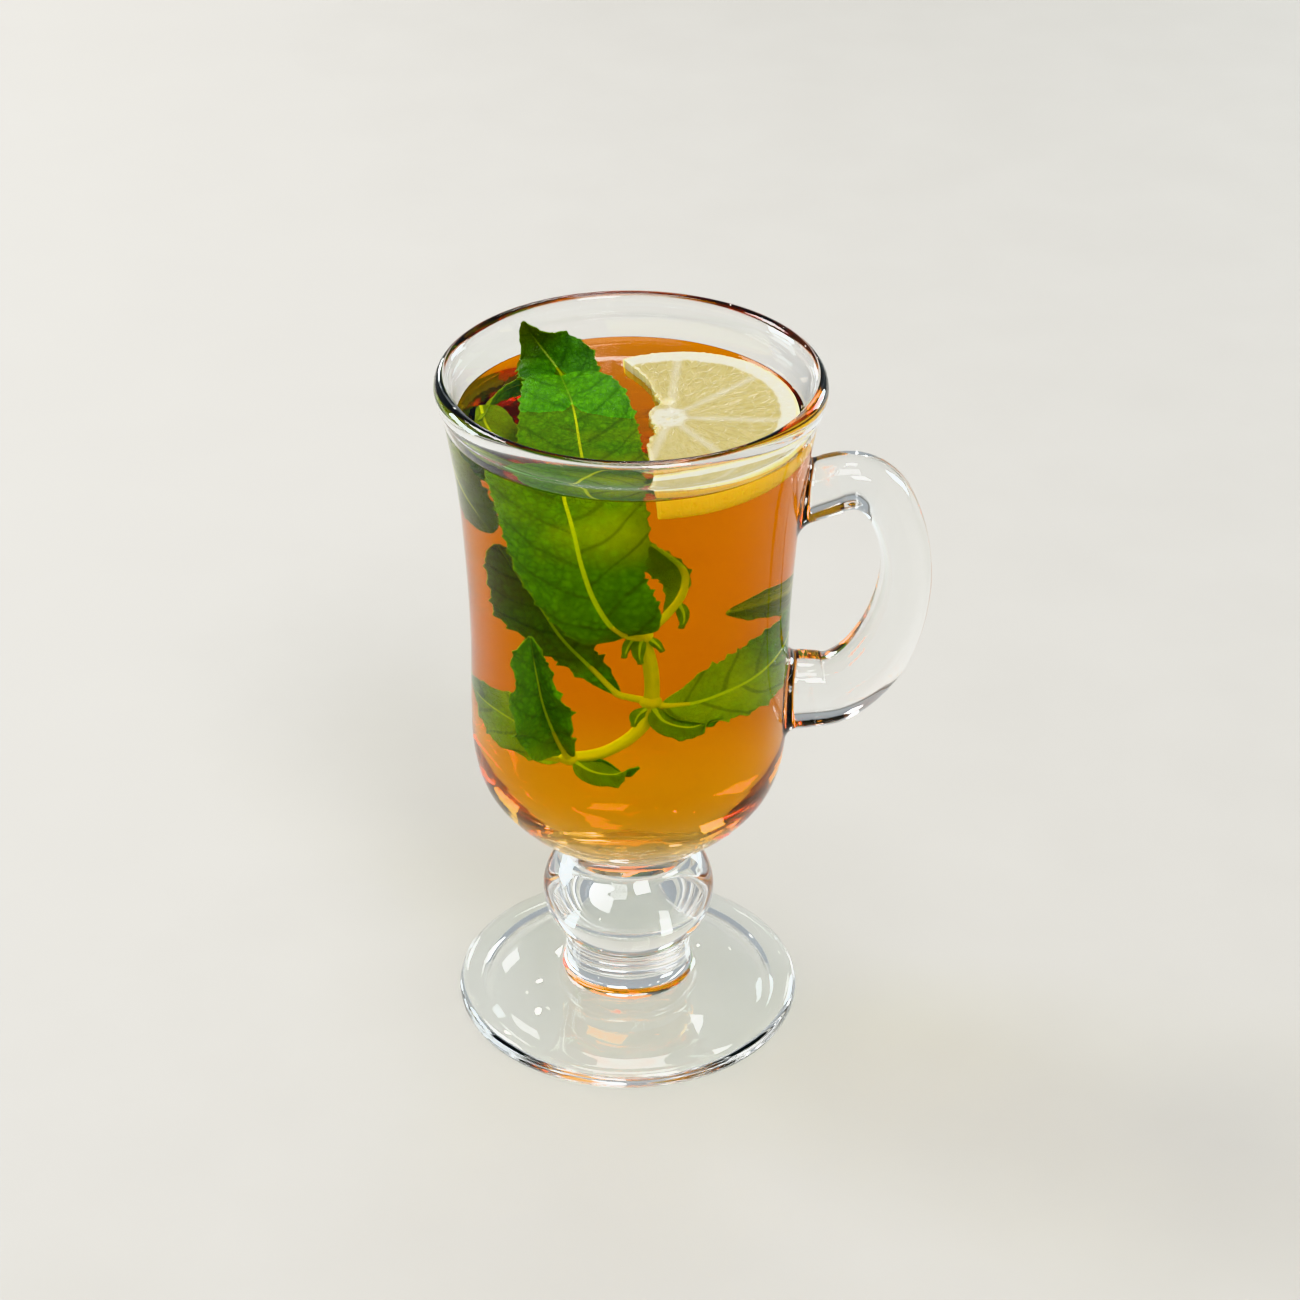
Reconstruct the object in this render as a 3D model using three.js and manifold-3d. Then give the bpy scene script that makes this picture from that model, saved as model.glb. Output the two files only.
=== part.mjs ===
// A footed glass mug of tea with a sprig of mint and a slice of lemon.
// Millimetres, +Z up. Every piece is drawn about the mug's own axis, handle towards +X,
// and the finished group is moved so that the middle of its base is the origin.

import * as THREE from 'three';
import { mergeVertices } from 'three/addons/utils/BufferGeometryUtils.js';
import Module from 'manifold-3d';

const wasm = await Module();
wasm.setup();

// Driving dimensions of the glass
const MUG_HEIGHT = 147;
const LIP_RADIUS = 38.1;
const LIP_BAND = 5.6;
const BOWL_RADIUS = 32;
const BOWL_BOTTOM = 37.2;
const FLOOR_HEIGHT = 48.8;
const WALL = 2.7;
const KNOP_RADIUS = 17.9;
const KNOP_HALF_HEIGHT = 14.5;
const KNOP_CENTRE = 27.2;
const NECK_RADIUS = 13.1;
const FOOT_RADIUS = 35.9;
const FOOT_EDGE = 4.3;
const FOOT_CROWN = 8.2;
const REST_RING_INNER = 31;
const REST_RING_OUTER = 34.4;
const UNDERSIDE_DOME = 4.6;
const SIDES = 44;
const WALL_STEPS = 12;

// Driving dimensions of the handle: a flattened strap that thickens where it joins the bowl
const HANDLE_TOP = 121.5;
const HANDLE_BOTTOM = 75.6;
const HANDLE_REACH = 59.7;
const HANDLE_HALF_DEPTH = 5;
const HANDLE_HALF_WIDTH = 6.1;
const HANDLE_ROUNDNESS = 2.7;
const HANDLE_STATIONS = 24;
const HANDLE_SIDES = 12;

// Driving dimensions of the tea and the mint
const TEA_LEVEL = 137;
const GAP = 0.3;
const LEAF_THICKNESS = 0.7;
const LEAF_STATIONS = 8;
const LEAF_COLUMNS = 2;
const LEAF_END = 0.5;
const LEAF_SHOULDER = 0.75;
const RIM_GROWTH = 1.6;
const WALL_CLEARANCE = 0.95;
const SUNK_DEPTH = 1.5;
const STEM_RADIUS = 1.15;
const PETIOLE_RADIUS = 0.85;
const NODE_RADIUS = 1.8;
const STEM_SIDES = 6;
const STEM_STEPS = 14;
const STALK_STEPS = 4;

// Driving dimensions of the lemon: the arc of its rind in degrees, and its cut side as places from
// the middle of the whole round
const LEMON_RADIUS = 25.2;
const LEMON_THICKNESS = 5;
const LEMON_CENTRE = [7.4, -1.8, 138.2];
const LEMON_SLOPE = [0.072, 0.072];
const LEMON_BEVEL = 0.5;
const ARC_START = -97;
const ARC_END = 111;
const CUT_SIDE = [[-4.1, 14.9], [-2.8, 9.9], [-1.6, 6.4], [-3.8, 2.7], [-2.6, -3.2], [-4.2, -9.1],
  [-3.5, -18]];
const SEGMENTS = 5;
const SEGMENT_ANGLE = 47;
const FIRST_MEMBRANE = -119;
const SEGMENT_DEPTH = 0.45;
const SEGMENT_CORNER = 0.09;
const RIND = 3.5;
const CORE_RADIUS = 2.6;
const MEMBRANE = 0.4;
const RIND_STEPS = 14;
const SEGMENT_STEPS = 3;

const degrees = THREE.MathUtils.degToRad;
const v2 = (x, y) => new THREE.Vector2(x, y);
const v3 = (x, y, z) => new THREE.Vector3(x, y, z);

// Solids: a closed geometry becomes a solid that can be joined or cut, and comes back as a geometry

function solid(geometry) {
  const bare = geometry.clone();
  bare.deleteAttribute('normal');
  bare.deleteAttribute('uv');
  const merged = mergeVertices(bare, 1e-4);
  const vertProperties = new Float32Array(merged.attributes.position.array);
  const triVerts = new Uint32Array(merged.index.array);
  return new wasm.Manifold(new wasm.Mesh({ numProp: 3, vertProperties, triVerts }));
}

function geometryOf(body) {
  const mesh = body.getMesh();
  const geometry = new THREE.BufferGeometry();
  geometry.setAttribute('position', new THREE.BufferAttribute(mesh.vertProperties, 3));
  geometry.setIndex(new THREE.BufferAttribute(mesh.triVerts, 1));
  geometry.computeVertexNormals();
  return geometry;
}

function join(bodies) {
  return bodies.reduce((whole, body) => whole.add(body));
}

// Lathe turns about Y, so the turned piece is stood up onto +Z
function turned(points) {
  return new THREE.LatheGeometry(points, SIDES).rotateX(Math.PI / 2);
}

function meshGeometry(points, faces) {
  const geometry = new THREE.BufferGeometry().setFromPoints(points);
  geometry.setIndex(faces.flat());
  return geometry;
}

// Outlines of the glass, as radius and height

const outerWall = new THREE.SplineCurve([
  v2(NECK_RADIUS - 0.2, BOWL_BOTTOM),
  v2(19.1, 44),
  v2(25.3, 49.9),
  v2(29.8, 56.2),
  v2(31.8, 64),
  v2(BOWL_RADIUS + 0.1, 74),
  v2(BOWL_RADIUS, 90),
  v2(32.7, 107),
  v2(34.1, 124),
  v2(36.8, MUG_HEIGHT - LIP_BAND - 0.2),
]);

const innerWall = new THREE.SplineCurve([
  v2(0, FLOOR_HEIGHT),
  v2(9, 49.4),
  v2(17, 51.4),
  v2(23.2, 55.2),
  v2(27.3, 61),
  v2(29.1, 69),
  v2(BOWL_RADIUS - WALL, 90),
  v2(30.2, 107),
  v2(31.8, 124),
  v2(33.7, TEA_LEVEL),
  v2(34.7, MUG_HEIGHT - 2.2),
]);

// Radius of the inner wall at a height, read off its outline
function bowlRadius(height) {
  const outline = innerWall.getPoints(80);
  const above = outline.findIndex((point) => point.y >= height);
  if (above < 1) return outline.at(-1).x;
  const low = outline[above - 1];
  const high = outline[above];
  return low.x + ((high.x - low.x) * (height - low.y)) / (high.y - low.y);
}

function footOutline() {
  const underside = new THREE.SplineCurve([
    v2(0, UNDERSIDE_DOME),
    v2(16, 3.6),
    v2(27, 1.6),
    v2(REST_RING_INNER, 0),
  ]);
  const edge = new THREE.SplineCurve([
    v2(REST_RING_OUTER, 0),
    v2(FOOT_RADIUS - 0.4, 0.9),
    v2(FOOT_RADIUS, 2.2),
    v2(FOOT_RADIUS - 0.5, 3.5),
    v2(FOOT_RADIUS - 1.6, FOOT_EDGE),
  ]);
  const collar = new THREE.QuadraticBezierCurve(
    v2(NECK_RADIUS + 1.6, FOOT_CROWN - 0.6),
    v2(NECK_RADIUS, FOOT_CROWN),
    v2(NECK_RADIUS, FOOT_CROWN + 2),
  );
  return [...underside.getPoints(4), ...edge.getPoints(4), ...collar.getPoints(2)];
}

function knopOutline() {
  const meets = Math.acos((NECK_RADIUS - 0.1) / KNOP_RADIUS);
  const round = new THREE.EllipseCurve(0, KNOP_CENTRE, KNOP_RADIUS, KNOP_HALF_HEIGHT, -meets, meets);
  return round.getPoints(8);
}

function lipOutline() {
  const bandBottom = MUG_HEIGHT - LIP_BAND;
  const lip = new THREE.SplineCurve([
    v2(LIP_RADIUS - 0.7, bandBottom + 0.4),
    v2(LIP_RADIUS, bandBottom + 2.6),
    v2(LIP_RADIUS - 0.4, MUG_HEIGHT - 1),
    v2(LIP_RADIUS - 1.6, MUG_HEIGHT),
    v2(LIP_RADIUS - 2.8, MUG_HEIGHT - 0.6),
  ]);
  return lip.getPoints(8);
}

function glassOutline() {
  const inside = innerWall.getPoints(WALL_STEPS).reverse();
  const outside = outerWall.getPoints(WALL_STEPS);
  return [...footOutline(), ...knopOutline(), ...outside, ...lipOutline(), ...inside];
}

// Handle: the middle line of its strap
const handleLine = new THREE.CatmullRomCurve3([
  v3(28.5, 0, HANDLE_TOP - 3.2),
  v3(34.5, 0, HANDLE_TOP - 1.4),
  v3(40, 0, HANDLE_TOP + 1.6),
  v3(45, 0, HANDLE_TOP + 2),
  v3(49.6, 0, HANDLE_TOP - 0.8),
  v3(52.8, 0, 114.6),
  v3(HANDLE_REACH - HANDLE_HALF_DEPTH, 0, 106),
  v3(HANDLE_REACH - HANDLE_HALF_DEPTH - 0.4, 0, 97.5),
  v3(51.6, 0, 88),
  v3(47, 0, 80.6),
  v3(41, 0, HANDLE_BOTTOM + 0.6),
  v3(35, 0, HANDLE_BOTTOM),
  v3(28, 0, HANDLE_BOTTOM - 0.8),
]);

// What each knot of that line adds to the strap's half depth (across the loop) and half width (along Y)
const HANDLE_THICKENING = [2.4, 1.2, 0.3, 0, -0.1, -0.1, 0, 0.4, 1, 1.4, 1.9, 2.5, 3.6];
const HANDLE_WIDENING = [1.5, 0.7, 0.1, 0, 0, 0, 0, 0, 0.1, 0.2, 0.6, 1.3, 2.3];

function valueAlong(values, along) {
  const place = along * (values.length - 1);
  const index = Math.min(Math.floor(place), values.length - 2);
  return THREE.MathUtils.lerp(values[index], values[index + 1], place - index);
}

function roundedSection(angle, halfDepth, halfWidth) {
  const power = 2 / HANDLE_ROUNDNESS;
  const across = Math.sign(Math.cos(angle)) * Math.abs(Math.cos(angle)) ** power;
  const wide = Math.sign(Math.sin(angle)) * Math.abs(Math.sin(angle)) ** power;
  return [across * halfDepth, wide * halfWidth];
}

function handleBody() {
  const points = [];
  const faces = [];
  for (let station = 0; station <= HANDLE_STATIONS; station += 1) {
    const along = station / HANDLE_STATIONS;
    const centre = handleLine.getPoint(along);
    const tangent = handleLine.getTangent(along);
    const outward = v3(tangent.z, 0, -tangent.x);
    const halfDepth = HANDLE_HALF_DEPTH + valueAlong(HANDLE_THICKENING, along);
    const halfWidth = HANDLE_HALF_WIDTH + valueAlong(HANDLE_WIDENING, along);
    for (let side = 0; side < HANDLE_SIDES; side += 1) {
      const [depth, width] = roundedSection((side * 2 * Math.PI) / HANDLE_SIDES, halfDepth, halfWidth);
      points.push(centre.clone().addScaledVector(outward, depth).add(v3(0, width, 0)));
    }
  }
  for (let station = 0; station < HANDLE_STATIONS; station += 1) {
    for (let side = 0; side < HANDLE_SIDES; side += 1) {
      const a = station * HANDLE_SIDES + side;
      const b = station * HANDLE_SIDES + ((side + 1) % HANDLE_SIDES);
      faces.push([a, b, b + HANDLE_SIDES], [a, b + HANDLE_SIDES, a + HANDLE_SIDES]);
    }
  }
  const last = HANDLE_STATIONS * HANDLE_SIDES;
  for (let side = 1; side < HANDLE_SIDES - 1; side += 1) {
    faces.push([0, side + 1, side], [last, last + side, last + side + 1]);
  }
  return solid(meshGeometry(points, faces));
}

// What the handle must not enter: everything inside the middle of the bowl's wall
function bowlHeart() {
  const outline = innerWall.getPoints(20).map((point) => v2(point.x + WALL / 2, point.y - WALL / 2));
  outline[0].x = 0;
  return solid(turned([...outline, v2(0, outline.at(-1).y)]));
}

function glassBody() {
  return solid(turned(glassOutline())).add(handleBody().subtract(bowlHeart()));
}

// Mint: each leaf has a middle rib, a direction across the blade at its base and its tip, half widths
// left and right of the rib, a fullness (small is blunt), a fold along the rib and a wave along the rim

const MINT_LEAVES = [
  {
    name: 'large front leaf whose tip stands out of the tea',
    rib: [[0.5, -11, 97.8], [-2.1, -13.2, 101], [-5.2, -14, 107.4], [-7.4, -13.2, 115], [-8.7, -10.5, 123.2],
      [-10, -4, 130], [-10.9, 4, 134.2], [-12, 12, 135.3], [-14, 19.5, 135.4], [-17.6, 25.6, 137.6],
      [-21.4, 25, 145]],
    across: [[1, 0.05, 0.1], [1, -0.1, 0]],
    left: 12.4,
    right: 12.4,
    fullness: 0.5,
    fold: 6,
    wave: 0.5,
    waves: 2.5,
    sunkUntil: 0.84,
  },
  {
    name: 'back leaf on a curled stalk',
    rib: [[6, -3.4, 109.5], [5, 1, 113.8], [0, 7, 117.6], [-8, 12, 121], [-17, 15.5, 125], [-25, 14.5, 130],
      [-29.5, 8, 133.6]],
    across: [[0.75, -0.1, 0.6], [0.2, -0.1, 1]],
    left: 8,
    right: 8,
    fullness: 0.7,
    fold: 12,
    wave: 0.6,
    waves: 2,
    sunkUntil: 1,
  },
  {
    name: 'right leaf that turns up against the wall',
    rib: [[4.6, -5, 79], [9, -4.6, 79.2], [14, -3, 80.6], [19.4, 0, 82.8], [23.4, 5.4, 86.6],
      [21.6, 12.6, 91.4], [14.5, 17, 93.6]],
    across: [[0, -0.45, -1], [0.5, -0.45, -1]],
    left: 7.6,
    right: 7.4,
    fullness: 0.75,
    fold: 14,
    wave: 0.7,
    waves: 2,
    sunkUntil: 1,
  },
  {
    name: 'left leaf',
    rib: [[-1.6, -4, 81.4], [-5.8, -3, 87.6], [-9.8, -2, 93.6], [-12.4, -0.6, 99.6], [-15.2, 1, 105.8],
      [-17.8, 3.2, 112]],
    across: [[0.85, 0.35, 0.5], [0.85, 0.3, 0.45]],
    left: 8.4,
    right: 6.6,
    fullness: 0.8,
    fold: 10,
    wave: 0.6,
    waves: 2,
    sunkUntil: 1,
  },
  {
    name: 'lower front leaf, folded along its rib',
    rib: [[-10.4, -10.4, 70.6], [-13, -13.4, 76.6], [-15.2, -15.4, 85], [-16.7, -16.4, 94],
      [-17.7, -16.8, 102.4]],
    across: [[0.8, -0.25, 0.4], [0.95, -0.2, 0.15]],
    left: 6.8,
    right: 5,
    fullness: 0.75,
    fold: 34,
    wave: 0.5,
    waves: 2,
    sunkUntil: 1,
  },
  {
    name: 'lower back leaf',
    rib: [[-9.4, -5, 68.6], [-12.6, 0, 68.6], [-16.4, 4.2, 70], [-20.4, 6, 72], [-24.4, 5.6, 75.4]],
    across: [[-0.6, 0.6, 0.5], [-0.2, 0.5, 0.85]],
    left: 5.6,
    right: 5.6,
    fullness: 0.8,
    fold: 10,
    wave: 0.5,
    waves: 1.5,
    sunkUntil: 1,
  },
  {
    name: 'small leaf under the stem',
    rib: [[-6.6, -5.6, 67.4], [-4.6, -5.2, 65], [-3.2, -4.6, 62.6], [-2.4, -4, 60]],
    across: [[-0.8, 0.5, -0.5], [-0.8, 0.5, -0.4]],
    left: 3.6,
    right: 3.6,
    fullness: 0.8,
    fold: 8,
    wave: 0.3,
    waves: 1,
    sunkUntil: 1,
  },
];

const MINT_STEM = [[-13.4, -6.2, 67.6], [-9.4, -7, 67.8], [-4.7, -6.2, 68.6], [-1.2, -5.4, 71],
  [1.2, -5, 74.6], [2.3, -5, 80], [2.9, -6, 88], [3.1, -7, 96.4]];
const MINT_NODES = [[-9.4, -7, 67.8], [2.3, -5, 80], [3.1, -7, 96.4]];
const MINT_STALKS = [
  [[3.1, -7, 96.4], [2.2, -9.8, 96.8], [0.5, -11, 97.8], [-2.1, -13.2, 101]],
  [[3.1, -7, 96.4], [4, -6, 102.4], [6.2, -4.4, 107.6], [6, -3.4, 109.5], [5, 1, 113.8]],
  [[2.3, -5, 80], [4.6, -5, 79], [9, -4.6, 79.2]],
  [[2.3, -5, 80], [-1.6, -4, 81.4], [-5.8, -3, 87.6]],
  [[-9.4, -7, 67.8], [-10.4, -10.4, 70.6], [-13, -13.4, 76.6]],
  [[-9.4, -7, 67.8], [-9.4, -5, 68.6], [-12.6, 0, 68.6]],
  [[-9.4, -7, 67.8], [-6.6, -5.6, 67.4], [-4.6, -5.2, 65]],
];

const curveThrough = (places) => new THREE.CatmullRomCurve3(places.map((place) => v3(...place)));

// A point of the blade's middle surface, kept inside the bowl and, where it is sunk, under the tea
function bladePoint(leaf, rib, along, side) {
  const centre = rib.getPointAt(along);
  const tangent = rib.getTangentAt(along);
  const across = v3(...leaf.across[0]).lerp(v3(...leaf.across[1]), along);
  across.addScaledVector(tangent, -across.dot(tangent)).normalize();
  const facing = v3().crossVectors(across, tangent).normalize();
  const blunt = Math.sin(Math.PI * along ** LEAF_SHOULDER) ** leaf.fullness;
  const width = Math.max(LEAF_END, blunt * (side < 0 ? leaf.left : leaf.right));
  const lift = Math.abs(side) * width * Math.sin(degrees(leaf.fold));
  const ripple = leaf.wave * blunt * side ** 2 * Math.sin(2 * Math.PI * leaf.waves * along + side);
  centre.addScaledVector(across, side * width * Math.cos(degrees(leaf.fold)));
  centre.addScaledVector(facing, lift + ripple);
  if (along < leaf.sunkUntil) centre.z = Math.min(centre.z, TEA_LEVEL - SUNK_DEPTH);
  const reach = Math.hypot(centre.x, centre.y);
  const limit = bowlRadius(centre.z) - WALL_CLEARANCE;
  if (reach > limit) {
    centre.x *= limit / reach;
    centre.y *= limit / reach;
  }
  return centre;
}

// The blade as a grid, with the surface's own normal at each crossing
function bladeGrid(leaf) {
  const rib = curveThrough(leaf.rib);
  const grid = [];
  for (let station = 0; station <= LEAF_STATIONS; station += 1) {
    const row = [];
    for (let column = -LEAF_COLUMNS; column <= LEAF_COLUMNS; column += 1) {
      row.push(bladePoint(leaf, rib, station / LEAF_STATIONS, column / LEAF_COLUMNS));
    }
    grid.push(row);
  }
  return grid;
}

function gridStep(grid, station, column, stationStep, columnStep) {
  const rows = grid.length - 1;
  const columns = grid[0].length - 1;
  const clampTo = THREE.MathUtils.clamp;
  const ahead = grid[clampTo(station + stationStep, 0, rows)][clampTo(column + columnStep, 0, columns)];
  const behind = grid[clampTo(station - stationStep, 0, rows)][clampTo(column - columnStep, 0, columns)];
  return v3().subVectors(ahead, behind).normalize();
}

// Crossings of the grid round its rim, in order, as pairs of station and column
function rimOf(rows, columns) {
  const rim = [];
  for (let column = 0; column < columns - 1; column += 1) rim.push([0, column]);
  for (let station = 0; station < rows - 1; station += 1) rim.push([station, columns - 1]);
  for (let column = columns - 1; column > 0; column -= 1) rim.push([rows - 1, column]);
  for (let station = rows - 1; station > 0; station -= 1) rim.push([station, 0]);
  return rim;
}

// A leaf: two faces a thickness apart, split into triangles alike, and a rim all round
function leafBody(leaf, grow) {
  const grid = bladeGrid(leaf);
  const rows = grid.length;
  const columns = grid[0].length;
  const half = LEAF_THICKNESS / 2 + grow;
  const at = (station, column) => station * columns + column;
  const rim = rimOf(rows, columns);
  const points = grid.flat();
  const normals = [];
  for (let station = 0; station < rows; station += 1) {
    for (let column = 0; column < columns; column += 1) {
      const alongStep = gridStep(grid, station, column, 1, 0);
      const acrossStep = gridStep(grid, station, column, 0, 1);
      normals.push(v3().crossVectors(acrossStep, alongStep).normalize());
    }
  }
  const spread = points.map((point) => point.clone());
  rim.forEach((place, index) => {
    const here = at(...place);
    const before = points[at(...rim.at(index - 1))];
    const after = points[at(...rim[(index + 1) % rim.length])];
    const forward = v3().subVectors(after, before).normalize();
    spread[here].addScaledVector(v3().crossVectors(forward, normals[here]).normalize(), grow * RIM_GROWTH);
  });
  const top = spread.map((point, index) => point.clone().addScaledVector(normals[index], half));
  const bottom = spread.map((point, index) => point.clone().addScaledVector(normals[index], -half));
  const under = points.length;
  const faces = [];
  for (let station = 0; station < rows - 1; station += 1) {
    for (let column = 0; column < columns - 1; column += 1) {
      const a = at(station, column);
      const b = at(station, column + 1);
      const c = at(station + 1, column + 1);
      const d = at(station + 1, column);
      faces.push([a, b, c], [a, c, d], [a + under, c + under, b + under], [a + under, d + under, c + under]);
    }
  }
  rim.forEach((place, index) => {
    const here = at(...place);
    const next = at(...rim[(index + 1) % rim.length]);
    faces.push([next, here, here + under], [next, here + under, next + under]);
  });
  return solid(meshGeometry([...top, ...bottom], faces));
}

// A round stalk along a curve; growing makes it thicker and longer at both ends
function stalkBody(places, radius, steps, grow) {
  const path = curveThrough(places);
  const knots = path.points;
  knots[0].addScaledVector(path.getTangent(0), -grow);
  knots.at(-1).addScaledVector(path.getTangent(1), grow);
  const section = new THREE.Shape();
  section.absarc(0, 0, radius + grow, 0, 2 * Math.PI);
  const settings = { steps, curveSegments: STEM_SIDES / 2, bevelEnabled: false, extrudePath: path };
  return solid(new THREE.ExtrudeGeometry(section, settings));
}

function nodeBody(place, grow) {
  return solid(new THREE.IcosahedronGeometry(NODE_RADIUS + grow, 1).translate(...place));
}

function sprigBody(grow) {
  return join([
    stalkBody(MINT_STEM, STEM_RADIUS, STEM_STEPS, grow),
    ...MINT_STALKS.map((places) => stalkBody(places, PETIOLE_RADIUS, STALK_STEPS, grow)),
    ...MINT_NODES.map((place) => nodeBody(place, grow)),
    ...MINT_LEAVES.map((leaf) => leafBody(leaf, grow)),
  ]);
}

// Lemon: rather more than half of a round slice, whose cut side runs ragged past the core

function lemonShape(grow) {
  const shape = new THREE.Shape();
  const spread = (2 * grow) / LEMON_RADIUS;
  shape.absarc(0, 0, LEMON_RADIUS + grow, degrees(ARC_START) - spread, degrees(ARC_END) + spread);
  CUT_SIDE.forEach(([x, y]) => shape.lineTo(x - grow, y));
  return shape;
}

// The rounded hollow that the flesh of one segment leaves between its two membranes
function segmentShape(from) {
  const outer = LEMON_RADIUS - RIND;
  const side = Math.asin((MEMBRANE * 2) / outer);
  const middle = degrees(from + SEGMENT_ANGLE / 2);
  const start = degrees(from) + side;
  const end = degrees(from + SEGMENT_ANGLE) - side;
  const shape = new THREE.Shape();
  shape.moveTo(CORE_RADIUS * Math.cos(middle), CORE_RADIUS * Math.sin(middle));
  shape.lineTo(outer * 0.9 * Math.cos(start), outer * 0.9 * Math.sin(start));
  shape.absarc(0, 0, outer, start + SEGMENT_CORNER, end - SEGMENT_CORNER);
  shape.lineTo(outer * 0.9 * Math.cos(end), outer * 0.9 * Math.sin(end));
  return shape;
}

function slab(shape, low, high, bevel, curveSegments) {
  const settings = {
    depth: high - low - 2 * bevel,
    curveSegments,
    bevelEnabled: bevel > 0,
    bevelThickness: bevel,
    bevelSize: bevel,
    bevelOffset: -bevel,
    bevelSegments: 1,
  };
  return new THREE.ExtrudeGeometry(shape, settings).translate(0, 0, low + bevel);
}

// Tilts a piece drawn flat about its middle, and floats it at the lemon's place
function floated(geometry) {
  geometry.rotateX(Math.atan(LEMON_SLOPE[1]));
  geometry.rotateY(-Math.atan(LEMON_SLOPE[0]));
  return solid(geometry.translate(...LEMON_CENTRE));
}

function lemonBody() {
  const slice = floated(slab(lemonShape(0), -LEMON_THICKNESS, 0, LEMON_BEVEL, RIND_STEPS));
  const hollows = [];
  for (let segment = 0; segment < SEGMENTS; segment += 1) {
    const shape = segmentShape(FIRST_MEMBRANE + segment * SEGMENT_ANGLE);
    const underneath = SEGMENT_DEPTH - LEMON_THICKNESS;
    hollows.push(floated(slab(shape, -SEGMENT_DEPTH, 1, 0, SEGMENT_STEPS)));
    hollows.push(floated(slab(shape, -LEMON_THICKNESS - 1, underneath, 0, SEGMENT_STEPS)));
  }
  return slice.subtract(join(hollows));
}

// The room the slice takes in the tea, open to the air above it
function lemonRoom() {
  return floated(slab(lemonShape(GAP), -LEMON_THICKNESS - GAP, LEMON_THICKNESS, 0, RIND_STEPS));
}

// Tea: fills the bowl to its level, a gap inside the wall, cut round the mint and the lemon
function teaBody() {
  const outline = innerWall.getPoints(WALL_STEPS).filter((point) => point.y < TEA_LEVEL - 1);
  const filled = outline.map((point) => v2(Math.max(0, point.x - GAP), point.y + GAP));
  filled[0].x = 0;
  filled.push(v2(bowlRadius(TEA_LEVEL) - GAP, TEA_LEVEL), v2(0, TEA_LEVEL));
  return solid(turned(filled)).subtract(sprigBody(GAP)).subtract(lemonRoom());
}

// The finished pieces

const clearGlass = new THREE.MeshStandardMaterial({ color: 0xe8f1ef, roughness: 0.04, metalness: 0 });
clearGlass.transparent = true;
clearGlass.opacity = 0.35;
const amberTea = new THREE.MeshStandardMaterial({ color: 0xc86a12, roughness: 0.08, metalness: 0 });
const mintGreen = new THREE.MeshStandardMaterial({ color: 0x3f8a12, roughness: 0.5, metalness: 0 });
const lemonFlesh = new THREE.MeshStandardMaterial({ color: 0xe6d98c, roughness: 0.45, metalness: 0 });

function piece(name, body, material) {
  const mesh = new THREE.Mesh(geometryOf(body), material);
  mesh.name = name;
  return mesh;
}

const group = new THREE.Group();
group.add(
  piece('glass', glassBody(), clearGlass),
  piece('tea', teaBody(), amberTea),
  piece('mint_sprig', sprigBody(0), mintGreen),
  piece('lemon_slice', lemonBody(), lemonFlesh),
);

const box = new THREE.Box3().setFromObject(group);
const middle = box.getCenter(v3());
group.position.set(-middle.x, -middle.y, -box.min.z);

export default group;
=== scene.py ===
import math

import bmesh
import bpy
import numpy as np
from mathutils import Matrix, Vector, noise
from mathutils.geometry import delaunay_2d_cdt


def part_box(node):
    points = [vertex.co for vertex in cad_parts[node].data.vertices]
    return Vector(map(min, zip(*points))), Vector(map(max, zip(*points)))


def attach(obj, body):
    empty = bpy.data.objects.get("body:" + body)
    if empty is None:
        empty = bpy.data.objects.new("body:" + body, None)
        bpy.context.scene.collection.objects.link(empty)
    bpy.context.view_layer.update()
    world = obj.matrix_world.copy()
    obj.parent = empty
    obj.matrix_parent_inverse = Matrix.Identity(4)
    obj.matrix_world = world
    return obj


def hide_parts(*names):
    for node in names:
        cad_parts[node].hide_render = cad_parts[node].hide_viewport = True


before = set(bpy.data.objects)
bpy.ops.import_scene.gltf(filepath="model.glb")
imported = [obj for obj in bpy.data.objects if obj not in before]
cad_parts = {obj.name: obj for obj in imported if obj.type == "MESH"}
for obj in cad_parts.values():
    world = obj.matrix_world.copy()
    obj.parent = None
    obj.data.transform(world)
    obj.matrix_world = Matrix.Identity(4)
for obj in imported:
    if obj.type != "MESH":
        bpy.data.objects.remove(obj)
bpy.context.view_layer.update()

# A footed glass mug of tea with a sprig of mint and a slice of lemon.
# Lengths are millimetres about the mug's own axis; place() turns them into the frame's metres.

MM = 0.001

# Sizes of the glass, as in the solids
MUG_HEIGHT = 147
LIP_RADIUS = 38.1
LIP_BAND = 5.6
BOWL_RADIUS = 32
BOWL_BOTTOM = 37.2
FLOOR_HEIGHT = 48.8
WALL = 2.7
KNOP_RADIUS = 17.9
KNOP_HALF_HEIGHT = 14.5
KNOP_CENTRE = 27.2
NECK_RADIUS = 13.1
FOOT_RADIUS = 35.9
FOOT_EDGE = 4.3
FOOT_CROWN = 8.2
REST_RING_INNER = 31
REST_RING_OUTER = 34.4
UNDERSIDE_DOME = 4.6
SIDES = 144
SOFTENING = 0.45

# Sizes of the handle
HANDLE_TOP = 121.5
HANDLE_BOTTOM = 75.6
HANDLE_REACH = 59.7
HANDLE_HALF_DEPTH = 5
HANDLE_HALF_WIDTH = 6.1
HANDLE_ROUNDNESS = 2.7
HANDLE_SIDES = 44
HANDLE_STATIONS = 100
HANDLE_FILLET = 2.2
FILLET_RINGS = 7
HOLE_MARGIN = 0.9

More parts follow.
